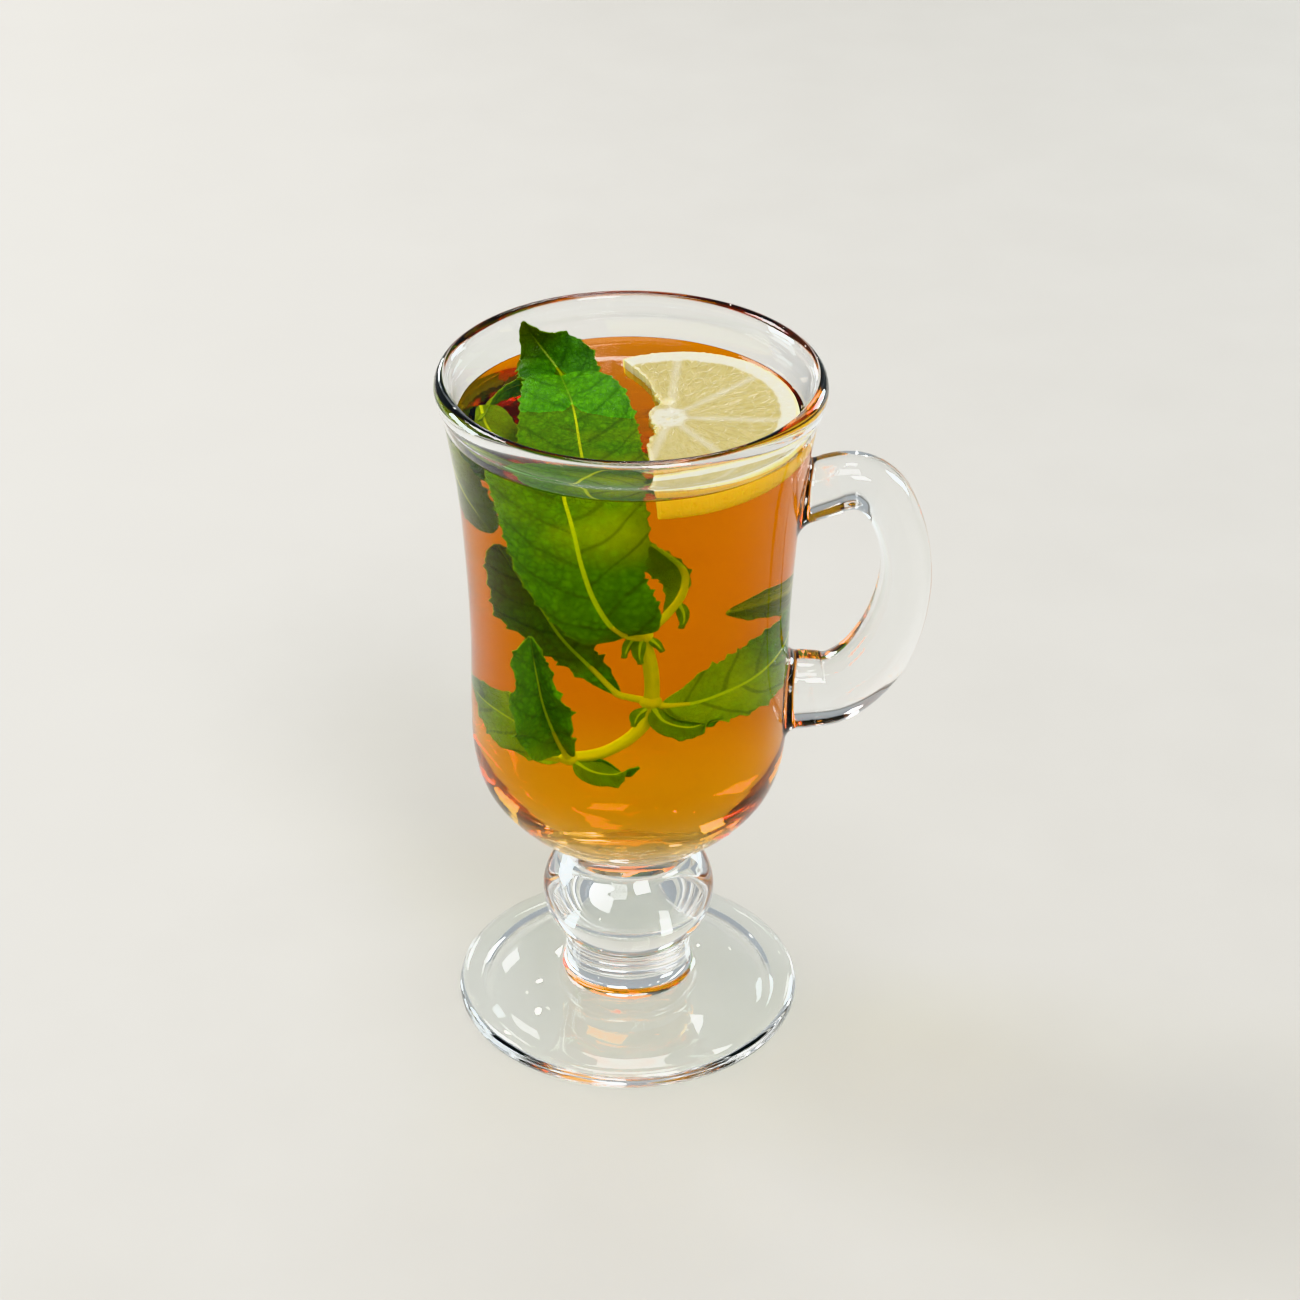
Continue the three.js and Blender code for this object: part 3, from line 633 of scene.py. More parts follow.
# Each leaf: its rib, the way its blade lies across the rib at both ends, its half widths to the left
# and right in mm, how full its outline is, its fold in degrees and its waves. The edges multiply the
# half width along the leaf. youth runs from -1 for an old olive leaf to 1 for a young yellow one. A
# stalk runs from its joint over its own points and then the first few of the rib.
MINT_LEAVES = [
    dict(
        name="front", joint=TOP_JOINT, stalk=[(1.2, -9.8, 98)], on_rib=2,
        rib=[(-0.6, -11, 99), (-2.9, -13.2, 101.8), (-5.6, -14, 107.8), (-7.5, -13.2, 115),
             (-8.7, -10.5, 123.2), (-9.9, -5, 130.5), (-10.7, 0.5, 135.6), (-11.7, 7, 137.3),
             (-13, 13, 137.5), (-13.9, 17.5, 137.4)],
        across=[(1, 0.05, 0.1), (1, -0.1, 0)],
        left=WIDEST_LEAF, right=WIDEST_LEAF, fullness=0.5, tip_fullness=0.22, fold=6,
        # glow: a painted highlight, lighter and yellower right of the rib and darker left of it
        wave=0.5, waves=2.3, lobes=2.4, glow=0.3, sunk_until=0,
        left_edge=[(0, 0.75), (0.12, 0.74), (0.3, 0.95), (0.45, 1), (0.75, 0.97), (1, 1)],
        right_edge=[(0, 1), (0.1, 0.98), (0.24, 0.78), (0.38, 0.9), (0.6, 1), (1, 1)],
        youth=[(0, -0.15), (0.2, -0.05), (0.38, 0.3), (0.55, 0.2), (0.7, 0), (1, 0)],
    ),
    dict(
        name="tip",
        rib=[(-11.6, 10, 135.2), (-13, 16, 136.3), (-15.2, 22.3, 137.2), (-18.2, 25.6, 139.8),
             (-21.6, 25, 145.3)],
        across=[(1, -0.1, 0), (1, -0.12, 0)],
        left=8.4, right=7.4, fullness=0.45, tip_fullness=0.75, fold=14,
        # the tip leaf is painted darker, as if it lay in shadow
        wave=1.1, waves=2.2, sunk_until=0, painted_shade=0.75,
        youth=[(0, -0.1), (0.6, -0.2), (1, -0.8)],
    ),
    dict(
        name="back", joint=TOP_JOINT, stalk=[(3.6, -6.2, 99.2)], on_rib=4,
        rib=[(5.4, -5.2, 101.4), (7.5, -4, 105.5), (7.7, -2, 110), (5, 0.5, 113.6),
             (0, 5, 117.6), (-7, 13, 122), (-14, 20, 126.5), (-21, 21, 129.5),
             (-27, 14, 130.6), (-29.6, 4, 130.8)],
        across=[(-1, 0.2, 0.1), (0.25, -0.25, 1)],
        left=7, right=7, fullness=0.7, tip_fullness=0.4, fold=8, wave=0.5, waves=2,
        left_edge=[(0, 0.05), (0.25, 0.12), (0.45, 0.6), (0.7, 0.75), (1, 0.7)],
        right_edge=[(0, 0.7), (0.2, 0.75), (0.4, 0.75), (0.7, 0.65), (1, 0.65)],
        youth=[(0, -0.5), (0.25, -0.3), (0.5, 0.1), (0.7, 0), (1, -0.3)],
    ),
    dict(
        name="back_end",
        rib=[(-29.4, 9, 132.6), (-28.2, 4.5, 129), (-25.6, 1.4, 124.4), (-22.4, 0.4, 120),
             (-19.8, 0, 116)],
        across=[(1, -0.3, 0.5), (0.8, 0.1, 0.6)],
        left=5.4, right=5.8, fullness=0.4, fold=8, wave=0.6, waves=1.6,
        youth=[(0, -0.2), (1, -0.7)],
    ),
    dict(
        name="right", joint=MIDDLE_JOINT, stalk=[(5, -5, 79.9), (9, -4.6, 79.8)], on_rib=0,
        rib=[(4.8, -5, 79.9), (9, -4.6, 79.8), (14, -3, 81), (19.4, 0, 83), (23.2, 5.4, 86.6),
             (22.4, 12.6, 90.6), (15.5, 17.6, 92), (10.5, 18.4, 91.6)],
        across=[(0, -0.45, -1), (0.3, -0.5, -1)],
        left=7.6, right=7.4, fullness=0.75, tip_fullness=0.5, fold=14, wave=0.8,
        waves=2.5, ragged=1.4,
        youth=[(0, 0.6), (0.35, 0.45), (0.6, 0), (1, -0.7)],
    ),
    dict(
        name="left", joint=MIDDLE_JOINT, stalk=[(-0.4, -4.3, 81.8)], on_rib=2,
        rib=[(-1.6, -4, 82.2), (-5.8, -3, 88.2), (-9.8, -2, 94.2), (-12.6, -0.6, 100.2),
             (-15.4, 1, 106.2), (-18, 3.2, 112.4)],
        across=[(0.85, 0.35, 0.5), (0.85, 0.3, 0.45)],
        left=8.4, right=6.6, fullness=0.8, tip_fullness=0.6, fold=10, wave=0.9, waves=3, ragged=1.6,
        left_edge=[(0, 0.35), (0.28, 0.36), (0.45, 0.6), (0.62, 1.2), (1, 1.35)],
        right_edge=[(0, 0.4), (0.32, 0.42), (0.5, 0.7), (0.7, 1), (1, 1.1)],
        youth=[(0, 0.1), (0.3, -0.45), (1, -0.7)],
    ),
    dict(
        name="lower_front", joint=LOW_JOINT, stalk=[], on_rib=2,
        rib=[(-10.4, -10.4, 70.6), (-12.6, -13.2, 76.4), (-14.8, -15.4, 84),
             (-16.2, -16.6, 92), (-17.2, -17, 99.6)],
        across=[(0.8, -0.25, 0.4), (0.95, -0.2, 0.15)],
        left=10.4, right=6.6, fullness=0.5, fold=40, wave=1.9, waves=3.4, ragged=1.7,
        left_edge=[(0, 0.6), (0.3, 0.9), (0.6, 1), (1, 0.9)],
        right_edge=[(0, 0.7), (0.3, 0.8), (0.55, 1.1), (0.7, 0.75), (1, 0.9)],
        youth=[(0, 0.35), (0.3, 0.1), (1, -0.1)],
    ),
    dict(
        name="lower_back", joint=LOW_JOINT, stalk=[], on_rib=2,
        rib=[(-9.4, -5, 68.6), (-12.6, 0, 68.6), (-16.4, 4.2, 70), (-20.4, 6, 72),
             (-24.4, 5.6, 75.4)],
        across=[(-0.6, 0.6, 0.5), (-0.2, 0.5, 0.85)],
        left=6.2, right=6.2, fullness=0.8, fold=10, wave=0.7, waves=2.5, ragged=1.4,
        youth=[(0, 0.8), (0.5, 0.6), (1, 0.3)],
    ),
    dict(
        name="small", joint=LOW_JOINT, stalk=[], on_rib=2,
        rib=[(-6.6, -5.6, 67.4), (-4.6, -5.2, 65), (-3.2, -4.6, 62.6), (-2.4, -4, 60)],
        across=[(-0.8, 0.5, -0.5), (-0.8, 0.5, -0.4)],
        left=3.6, right=3.6, fullness=0.8, fold=8, wave=0.3, waves=1,
        youth=[(0, 0.1), (1, -0.3)],
    ),
]

# Tiny leaves that sprout from the stem's joints: a rib and a half width each
LEAFLETS = [
    ([(1.4, -8, 97.8), (0.2, -8.8, 96.8), (-0.6, -9, 94.8), (-0.9, -9, 93)], 0.9),
    ([(1.9, -8.4, 97.6), (1.5, -9.1, 95.8), (1.4, -9.2, 93.6), (1.7, -9, 91.6)], 1.2),
    ([(2.8, -7.8, 97.2), (4, -8, 96), (5.0, -7.8, 94)], 0.85),
    ([(6.9, -4.6, 104), (7.7, -4.6, 102), (7.9, -4.6, 99.8), (7.5, -4.8, 98)], 1.0),
    ([(2.6, -5.6, 79.6), (1.2, -6.4, 78), (0.6, -6.8, 75.6)], 1.2),
    ([(-8.6, -8, 67.4), (-5.6, -9, 65.6), (-1.8, -9, 65.2), (1.6, -8.4, 66.6)], 2.7),
    ([(3.6, -5.8, 79.6), (5.4, -7, 76.8), (9.6, -7.4, 75.2), (14.6, -6.4, 76.6)], 2.6),
]


class Rib:
    """A curve through knots that is read by its length."""

    def __init__(self, knots):
        self.points = np.array(curve(knots, 400, evenly=False))
        steps = np.linalg.norm(np.diff(self.points, axis=0), axis=1)
        self.run = np.concatenate(([0], np.cumsum(steps)))

    def at(self, share):
        where = share * self.run[-1]
        return np.array([np.interp(where, self.run, self.points[:, axis]) for axis in range(3)])

    def along(self, share):
        step = self.at(min(share + 0.004, 1)) - self.at(max(share - 0.004, 0))
        return step / np.linalg.norm(step)


def youth_at(leaf, along, side):
    """The leaf's youth at a place; a leaf's glow is a painted highlight laid on as youth: lighter and
    yellower right of its rib, darker left of it.
    """
    shares, values = zip(*leaf["youth"])
    glow = leaf.get("glow", 0) * side * math.exp(-(((along - 0.38) / 0.14) ** 2))
    return float(np.interp(along, shares, values)) + glow


def edge_share(leaf, along, side):
    """What the leaf's half width is multiplied by on one side."""
    shares, values = zip(*leaf.get("left_edge" if side < 0 else "right_edge", [(0, 1), (1, 1)]))
    return float(np.interp(along, shares, values))


def tooth(leaf, length, along, side):
    """How far the rim stands out at a tooth, in mm; the teeth point to the leaf's end."""
    phase = along * length / TOOTH_SPACING + (0.4 if side < 0 else 0)
    part = phase - math.floor(phase)
    size = 0.75 + 0.5 * noise.noise(Vector((math.floor(phase) * 1.7, side, leaf["left"])))
    fade = smooth_step(along * length, 3, 8) * smooth_step((1 - along) * length, 0.5, 3)
    size *= leaf.get("ragged", 1)
    return TOOTH_DEPTH * size * fade * (part**2 * (1 - smooth_step(part, 0.76, 1)) - 0.15)


def leaf_relief(leaf, length, along, side, width):
    """Height off the middle surface, the bulge's share, and closeness to rib and side vein."""
    half = max(leaf["left"], leaf["right"])
    small = 0.45 + 0.55 * half / WIDEST_LEAF
    offset = side * width
    run = along * length
    spacing = VEIN_SPACING * (0.55 + 0.45 * half / WIDEST_LEAF)
    slant = 0.95 * abs(offset) - 1.1 * math.sin(min(abs(offset) / half, 1) * math.pi)
    stray = 0.16 * noise.noise(Vector((run * 0.16, offset * 0.2, half)))
    phase = (run - slant) / spacing + (0.45 if side < 0 else 0) + stray
    between = abs(phase - round(phase))
    to_vein = between * spacing * 0.74
    cells = noise.voronoi(Vector((run / 2.4, offset / 1.9, half)))[0]
    fine = noise.voronoi(Vector((run / 1.15, offset / 1.0, half + 3)))[0]
    cell = 0.55 * min((cells[1] - cells[0]) * 1.5, 1) + 0.45 * min((fine[1] - fine[0]) * 1.5, 1)
    bulge = 0.3 * math.sin(math.pi * min(between * 2, 1) * 0.5) ** 0.6 + 0.7 * cell
    rib_half = small * (0.62 - 0.5 * along)
    near_rib = math.exp(-((offset / (0.9 * small)) ** 2))
    rim = 1 - smooth_step(abs(side), 0.84, 1)
    height = PUCKER * small * bulge * rim * (1 - near_rib)
    height -= 0.07 * small * math.exp(-((to_vein / 0.26) ** 2)) * (1 - near_rib) * rim
    height += 0.05 * noise.noise(Vector((run * 1.4, offset * 1.4, 6.1)))
    return height - 0.34 * small * near_rib, bulge, abs(offset) / rib_half, to_vein


def blade_point(leaf, rib, along, side):
    """A point of the blade's middle surface, as the solid has it, and its half width there."""
    length = rib.run[-1]
    centre = rib.at(along)
    tangent = rib.along(along)
    across = np.array(leaf["across"][0]) * (1 - along) + np.array(leaf["across"][1]) * along
    across = across - np.dot(across, tangent) * tangent
    across /= np.linalg.norm(across)
    facing = np.cross(across, tangent)
    fullness = leaf["fullness"] if along < 0.5 else leaf.get("tip_fullness", leaf["fullness"])
    blunt = max(math.sin(math.pi * along**LEAF_SHOULDER), 0) ** fullness
    half = leaf["left"] if side < 0 else leaf["right"]
    width = max(LEAF_END, blunt * half * edge_share(leaf, along, side))
    reach = side * width + math.copysign(tooth(leaf, length, along, side), side) * abs(side) ** 8
    fold = math.radians(leaf["fold"])
    lift = abs(side) * width * math.sin(fold)
    ripple = leaf["wave"] * blunt * side**2 * math.sin(2 * math.pi * leaf["waves"] * along + side)
    point = centre + across * reach * math.cos(fold) + facing * (lift + ripple)
    lobe = leaf.get("lobes", 0) * smooth_step(abs(reach), 0, 7)
    point -= tangent * lobe * math.exp(-((along * length / 9) ** 2))
    if along < leaf.get("sunk_until", 1):
        point[2] = min(point[2], TEA_LEVEL - SUNK_DEPTH)
    out = math.hypot(point[0], point[1])
    limit = inner_radius(point[2]) - WALL_CLEARANCE
    if out > limit:
        point[:2] *= limit / out
    return point, width


def add_leaf(mesh, layers, leaf, step):
    """A leaf of two faces a little apart, with a rim all round."""
    rib = Rib(leaf["rib"])
    length = rib.run[-1]
    rows = max(16, int(length / step))
    columns = max(8, 2 * int((leaf["left"] + leaf["right"]) / step / 2))
    evenly = np.linspace(-1, 1, columns + 1)
    sides = [math.sin(0.4 * math.pi * even) / math.sin(0.4 * math.pi) for even in evenly]
    shares = [(row / rows, side) for row in range(rows + 1) for side in sides]
    placed = [blade_point(leaf, rib, along, side) for along, side in shares]
    grid = np.array([point for point, _ in placed])
    shape = (rows + 1, columns + 1, 3)
    along_step, across_step = np.gradient(grid.reshape(shape), axis=(0, 1))
    normals = np.cross(across_step, along_step).reshape(-1, 3)
    normals /= np.maximum(np.linalg.norm(normals, axis=1), 1e-9)[:, None]
    blade, detail, under, painted_shade = layers
    upper, lower = [], []
    for index, (along, side) in enumerate(shares):
        relief, bulge, from_rib, to_vein = leaf_relief(leaf, length, along, side, placed[index][1])
        half_thick = 0.5 * LEAF_THICKNESS * (0.3 + 0.35 * math.exp(-(from_rib**2) / 4))
        for faces, way in ((upper, 1), (lower, -1)):
            point = grid[index] + normals[index] * (relief + way * half_thick)
            vertex = mesh.verts.new(place(*point))
            vertex[blade] = (along, side, youth_at(leaf, along, side))
            vertex[detail] = (bulge, from_rib, to_vein)
            vertex[under] = float(way < 0)
            vertex[painted_shade] = leaf.get("painted_shade", 0)
            faces.append(vertex)

    def at(faces, row, column):
        return faces[row * (columns + 1) + column]

    for row in range(rows):
        for column in range(columns):
            corners = ((row, column), (row, column + 1), (row + 1, column + 1), (row + 1, column))
            mesh.faces.new([at(upper, *corner) for corner in corners])
            mesh.faces.new([at(lower, *corner) for corner in reversed(corners)])
    rim = [(0, column) for column in range(columns)]
    rim += [(row, columns) for row in range(rows)]
    rim += [(rows, column) for column in range(columns, 0, -1)]
    rim += [(row, 0) for row in range(rows, 0, -1)]
    for here, following in zip(rim, rim[1:] + rim[:1]):
        corners = (at(upper, *following), at(upper, *here), at(lower, *here), at(lower, *following))
        mesh.faces.new(corners)


def mint_leaves_mesh():
    mesh = bmesh.new()
    layers = (
        mesh.verts.layers.float_vector.new("blade"),
        mesh.verts.layers.float_vector.new("detail"),
        mesh.verts.layers.float.new("under"),
        mesh.verts.layers.float.new("painted_shade"),
    )
    for leaf in MINT_LEAVES:
        step = FINE_LEAF_STEP if leaf["name"] in ("front", "tip") else LEAF_STEP
        add_leaf(mesh, layers, leaf, step)
    for rib, half in LEAFLETS:
        leaflet = dict(
            rib=rib, across=[(1, 0.3, 0.3), (1, 0.3, 0.3)], left=half, right=half, fullness=0.8,
            fold=20, wave=0.1, waves=1, youth=[(0, 0.4), (1, 0)],
        )
        add_leaf(mesh, layers, leaflet, LEAFLET_STEP)
    bmesh.ops.recalc_face_normals(mesh, faces=mesh.faces)
    return mesh


def add_stalk(mesh, layer, knots, start_radius, end_radius, square):
    """A tapering stalk; a mint's stem is square with rounded corners and a groove on each side."""
    rib = Rib(knots)
    rows = max(16, int(rib.run[-1] / 0.5))
    sides = 20
    rings = []
    sideways = np.array((0, 1, 0), float)
    for row in range(rows + 1):
        share = row / rows
        centre, along = rib.at(share), rib.along(share)
        sideways = sideways - np.dot(sideways, along) * along
        sideways /= np.linalg.norm(sideways)
        other = np.cross(along, sideways)
        radius = start_radius + (end_radius - start_radius) * share
        radius *= 1 + 0.05 * noise.noise(Vector((share * rib.run[-1] * 0.3, knots[0][0], 0)))
        ring = []
        for side in range(sides):
            angle = 2 * math.pi * side / sides
            shaped = radius * (1 + square * 0.1 * math.cos(4 * angle))
            offset = sideways * math.cos(angle) + other * math.sin(angle)
            vertex = mesh.verts.new(place(*(centre + offset * shaped)))
            vertex[layer] = (share * rib.run[-1], angle, square)
            ring.append(vertex)
        rings.append(ring)
    add_strips(mesh, rings)
    for ring, share in ((rings[0], 0), (rings[-1], 1)):
        middle = mesh.verts.new(place(*rib.at(share)))
        add_fan(mesh, middle, ring)


def add_knot(mesh, layer, centre):
    """The swollen joint of a stem."""
    made = bmesh.ops.create_icosphere(mesh, subdivisions=3, radius=NODE_RADIUS * MM)
    for vertex in made["verts"]:
        bump = 1 + 0.14 * noise.noise(vertex.co * 900)
        vertex.co = place(*centre) + Vector((vertex.co.x, vertex.co.y, vertex.co.z * 0.85)) * bump
        vertex[layer] = (0, 0, 0.5)


def mint_stem_mesh():
    mesh = bmesh.new()
    layer = mesh.verts.layers.float_vector.new("stalk")
    add_stalk(mesh, layer, MINT_STEM, STEM_RADIUS, STEM_RADIUS * 0.92, 1)
    for leaf in MINT_LEAVES:
        if "joint" in leaf:
            knots = [leaf["joint"]] + leaf["stalk"] + leaf["rib"][:leaf["on_rib"]]
            add_stalk(mesh, layer, knots, PETIOLE_RADIUS, PETIOLE_RADIUS * 0.55, 0.3)
    for centre in JOINTS:
        add_knot(mesh, layer, centre)
    bmesh.ops.recalc_face_normals(mesh, faces=mesh.faces)
    return mesh


# Tea: fills the bowl just into the wall, and climbs a little at the wall, the lemon and the leaf

LEAF_WATERLINE = (np.array((-23.9, 23.7)), np.array((-12.8, 27.0)))
LEMON_WATERLINE = np.array([lemon_point(*point, 0)[:2] for point in lemon_outline()[::4]])


def distance_to_line(point, start, end):
    along = end - start
    share = np.clip(np.dot(point - start, along) / np.dot(along, along), 0, 1)
    return float(np.linalg.norm(point - (start + along * share)))


def tea_height(x, y):
    """The drink's surface: level, but for a small climb at whatever it touches."""
    radius = math.hypot(x, y)
    at_wall = inner_radius(TEA_LEVEL + MENISCUS)
    climb = MENISCUS * math.exp(-max(at_wall - radius, 0) / MENISCUS_REACH)
    gap = float(np.min(np.linalg.norm(LEMON_WATERLINE - (x, y), axis=1)))
    proud = min(max(lemon_top(x, y) - TEA_LEVEL, 0.0), 1.0)
    climb = max(climb, 0.3 * proud * math.exp(-gap / 1.2))
    leaf_gap = distance_to_line(np.array((x, y)), *LEAF_WATERLINE)
    return TEA_LEVEL + max(climb, 0.7 * math.exp(-leaf_gap / 0.8))


def tea_mesh():
    mesh = bmesh.new()
    wet = mesh.verts.layers.float.new("wet")
    top_height = TEA_LEVEL + MENISCUS
    outline = thinned(np.array([p for p in BOWL_INSIDE if p[1] < top_height]))
    bottom = mesh.verts.new(place(0, 0, FLOOR_HEIGHT - TEA_OVERLAP))
    rings = [
        turned_ring(mesh, radius + TEA_OVERLAP, height - TEA_OVERLAP)
        for radius, height in outline[1:]
    ]
    rings.append(turned_ring(mesh, inner_radius(top_height) + TEA_OVERLAP, top_height))
    mark(wet, mesh.verts, 1)
    add_fan(mesh, bottom, rings[0])
    add_strips(mesh, rings)
    edge = inner_radius(top_height)
    radii = [edge - inward for inward in (0, 0.2, 0.45, 0.75, 1.1, 1.5, 2)]
    radii += list(np.arange(edge - 2.6, 0.5, -0.6))
    above = rings[-1]
    for radius in radii:
        ring = add_points(mesh, [(x, y, tea_height(x, y)) for x, y in circle(radius)])
        add_strip(mesh, above, ring)
        above = ring
    middle = mesh.verts.new(place(0, 0, tea_height(0, 0)))
    add_fan(mesh, middle, above)
    bmesh.ops.recalc_face_normals(mesh, faces=mesh.faces)
    return mesh


# Materials


class Look:
    """A material being built: node() adds a node and links or sets its inputs by name."""

    def __init__(self, name):
        self.material = bpy.data.materials.new(name)
        self.material.use_nodes = True
        self.tree = self.material.node_tree
        self.tree.nodes.clear()
        self.output = self.tree.nodes.new("ShaderNodeOutputMaterial")

    def node(self, kind, inputs=None, **settings):
        node = self.tree.nodes.new("ShaderNode" + kind)
        for name, value in settings.items():
            setattr(node, name, value)
        for name, value in (inputs or {}).items():
            self.feed(node.inputs[name], value)
        return node

    def feed(self, socket, value):
        if isinstance(value, bpy.types.NodeSocket):
            self.tree.links.new(value, socket)
        else:
            socket.default_value = value

    def math(self, operation, *values):
        node = self.node("Math", operation=operation)
        for socket, value in zip(node.inputs, values):
            self.feed(socket, value)
        return node.outputs[0]

    def times(self, *values):
        return self.math("MULTIPLY", *values)

    def plus(self, *values):
        return self.math("ADD", *values)

    def minus(self, *values):
        return self.math("SUBTRACT", *values)

    def length(self, x, y):
        return self.math("SQRT", self.plus(self.times(x, x), self.times(y, y)))

    def ramp(self, value, low, high, start=0.0, end=1.0):
        """A smooth step from start to end as value goes from low to high."""
        node = self.node("MapRange", interpolation_type="SMOOTHSTEP")
        for socket, number in zip(node.inputs, (value, low, high, start, end)):
            self.feed(socket, number)
        return node.outputs[0]

    def mix(self, share, first, second, blend="MIX"):
        node = self.node("Mix", data_type="RGBA", blend_type=blend)
        for socket, value in ((0, share), (6, first), (7, second)):
            self.feed(node.inputs[socket], value)
        return node.outputs[2]

    def tinted(self, base, tint):
        return self.mix(1.0, base, tint, "MULTIPLY")

    def noise(self, vector, scale, detail=2.0, roughness=0.5):
        inputs = {"Vector": vector, "Scale": scale, "Detail": detail, "Roughness": roughness}
        return self.node("TexNoise", inputs).outputs["Fac"]

    def cell_edges(self, vector, scale):
        """The distance to the edge of the nearest of many irregular cells."""
        inputs = {"Vector": vector, "Scale": scale}
        return self.node("TexVoronoi", inputs, feature="DISTANCE_TO_EDGE").outputs["Distance"]

    def object_position(self):
        return self.node("TexCoord").outputs["Object"]

    def height(self):
        return self.node("SeparateXYZ", {"Vector": self.object_position()}).outputs["Z"]

    def flat_place(self, x, y):
        return self.node("CombineXYZ", {"X": x, "Y": y}).outputs[0]

    def marked(self, name):
        """A number that the mesh carries at each of its points."""
        return self.node("Attribute", attribute_name=name).outputs["Fac"]

    def marked_three(self, name):
        """Three numbers that the mesh carries at each of its points."""
        read = self.node("Attribute", attribute_name=name)
        return self.node("SeparateXYZ", {"Vector": read.outputs["Vector"]}).outputs

    def bump(self, height, strength, distance_mm):
        inputs = {"Height": height, "Strength": strength, "Distance": distance_mm * MM}
        return self.node("Bump", inputs).outputs["Normal"]

    def finish(self, surface, volume=None):
        self.tree.links.new(surface, self.output.inputs["Surface"])
        if volume:
            self.tree.links.new(volume, self.output.inputs["Volume"])
        return self.material


def colour(red, green, blue):
    """A colour given as the screen shows it, from 0 to 255, for a node."""
    def linear(value):
        value /= 255
        return value / 12.92 if value <= 0.04045 else ((value + 0.055) / 1.055) ** 2.4
    return (linear(red), linear(green), linear(blue), 1.0)


def lets_lamps_through(look, shader, tint):
    """Light on its way from a lamp, or scattered by what is inside, passes this surface unbent."""
    path = look.node("LightPath")
    clear = look.node("BsdfTransparent", {"Color": tint}).outputs[0]
    scattered = look.node("MixShader", {"Fac": path.outputs["Is Diffuse Ray"]})
    look.feed(scattered.inputs[1], shader)
    look.feed(scattered.inputs[2], clear)
    lamps = look.node("MixShader", {"Fac": path.outputs["Is Shadow Ray"]})
    look.feed(lamps.inputs[1], scattered.outputs[0])
    look.feed(lamps.inputs[2], clear)
    return lamps.outputs[0]


def where_dry(look, wet_colour, dry_colour):
    """One colour where glass and tea touch, another where air meets the surface."""
    wet = look.marked("wet")
    dry = look.math("LESS_THAN", wet, 0.5)
    return look.mix(dry, wet_colour, dry_colour)


NO_SHINE = (0, 0, 0, 1)
GLASS_SHINE = (0.9, 0.9, 0.9, 1)
BOWL_SHINE = (0.15, 0.15, 0.15, 1)
TEA_SHINE = (0.5, 0.5, 0.5, 1)
TEA_TINT = (0.785, 0.255, 0.005, 1)
TEA_DEEPER = (0.77, 0.235, 0.004, 1)
# Painted light: the paler, more golden tint the tea is given near the bowl's floor
TEA_PALE = (0.91, 0.56, 0.13, 1)


def glass_look():
    look = Look("clear_glass")
    position = look.object_position()
    waves = look.noise(position, 55, 1.5)
    grain = look.noise(position, 900, 3)
    smears = look.ramp(look.noise(position, 120, 4, 0.6), 0.5, 0.75, 0.0, 0.035)
    height = look.plus(waves, look.times(grain, 0.004))
    calm = look.marked("calm")
    shine = look.mix(calm, GLASS_SHINE, BOWL_SHINE)
    shader = look.node("BsdfPrincipled", {
        "Base Color": (0.985, 0.995, 0.99, 1),
        "Roughness": smears,
        "IOR": 1.5,
        "Transmission Weight": 1.0,
        "Specular Tint": where_dry(look, NO_SHINE, shine),
        "Normal": look.bump(height, 0.25, 0.25),
    })
    return look.finish(lets_lamps_through(look, shader.outputs[0], (0.93, 0.945, 0.94, 1)))


def tea_look():
    look = Look("amber_tea")
    position = look.object_position()
    swirls = look.noise(position, 70, 2)
    # Painted light: the tea's tint turns paler and more golden towards the bowl's floor
    painted_glow_near_floor = look.ramp(look.height(), (FLOOR_HEIGHT + 0.5) * MM, (FLOOR_HEIGHT + 19) * MM, 1.0, 0.0)
    amber = look.mix(look.ramp(swirls, 0.3, 0.7), TEA_TINT, TEA_DEEPER)
    shader = look.node("BsdfPrincipled", {
        "Base Color": look.mix(painted_glow_near_floor, amber, TEA_PALE),
        "Roughness": look.ramp(look.noise(position, 300, 2), 0.4, 0.8, 0.0, 0.012),
        "IOR": 1.335,
        "Transmission Weight": 1.0,
        "Specular Tint": where_dry(look, NO_SHINE, TEA_SHINE),
        "Normal": look.bump(swirls, 0.15, 0.3),
    })
    absorption = look.node("VolumeAbsorption", {"Color": (0.945, 0.875, 0.4, 1), "Density": 50})
    surface = lets_lamps_through(look, shader.outputs[0], (0.98, 0.98, 0.98, 1))
    return look.finish(surface, absorption.outputs[0])


def sunk_share(look):
    """0 above the drink's level, 1 well under it: the share of painted light a colour gets there."""
    height = look.height()
    near = look.ramp(height, (TEA_LEVEL - 0.6) * MM, (TEA_LEVEL + 0.4) * MM, 0.6, 0.0)
    return look.plus(near, look.ramp(height, (TEA_LEVEL - 18) * MM, TEA_LEVEL * MM, 0.4, 0.0))


def painted_light_when_sunk(look, base, painted_light):
    """Painted light: brightens a colour under the drink, giving back what the drink in front of it
    takes away.
    """
    return look.mix(sunk_share(look), base, look.tinted(base, painted_light))


# Colours of the mint
DEEP_GREEN = (0.024, 0.12, 0.001, 1)
FRESH_GREEN = (0.08, 0.30, 0.002, 1)
YOUNG_GREEN = (0.37, 0.48, 0.005, 1)
OLD_OLIVE = (0.14, 0.105, 0.003, 1)
NET_VEIN_AND_SHADE_GREEN = (0.02, 0.085, 0.002, 1)
VEIN_GROOVE_SHADE = (0.014, 0.06, 0.001, 1)
UNDERSIDE_GREEN = (0.21, 0.29, 0.03, 1)
RIB_GREEN = (0.50, 0.60, 0.06, 1)
RIM_GREEN = (0.20, 0.36, 0.02, 1)
LIT_THROUGH = (0.3, 0.5, 0.01, 1)
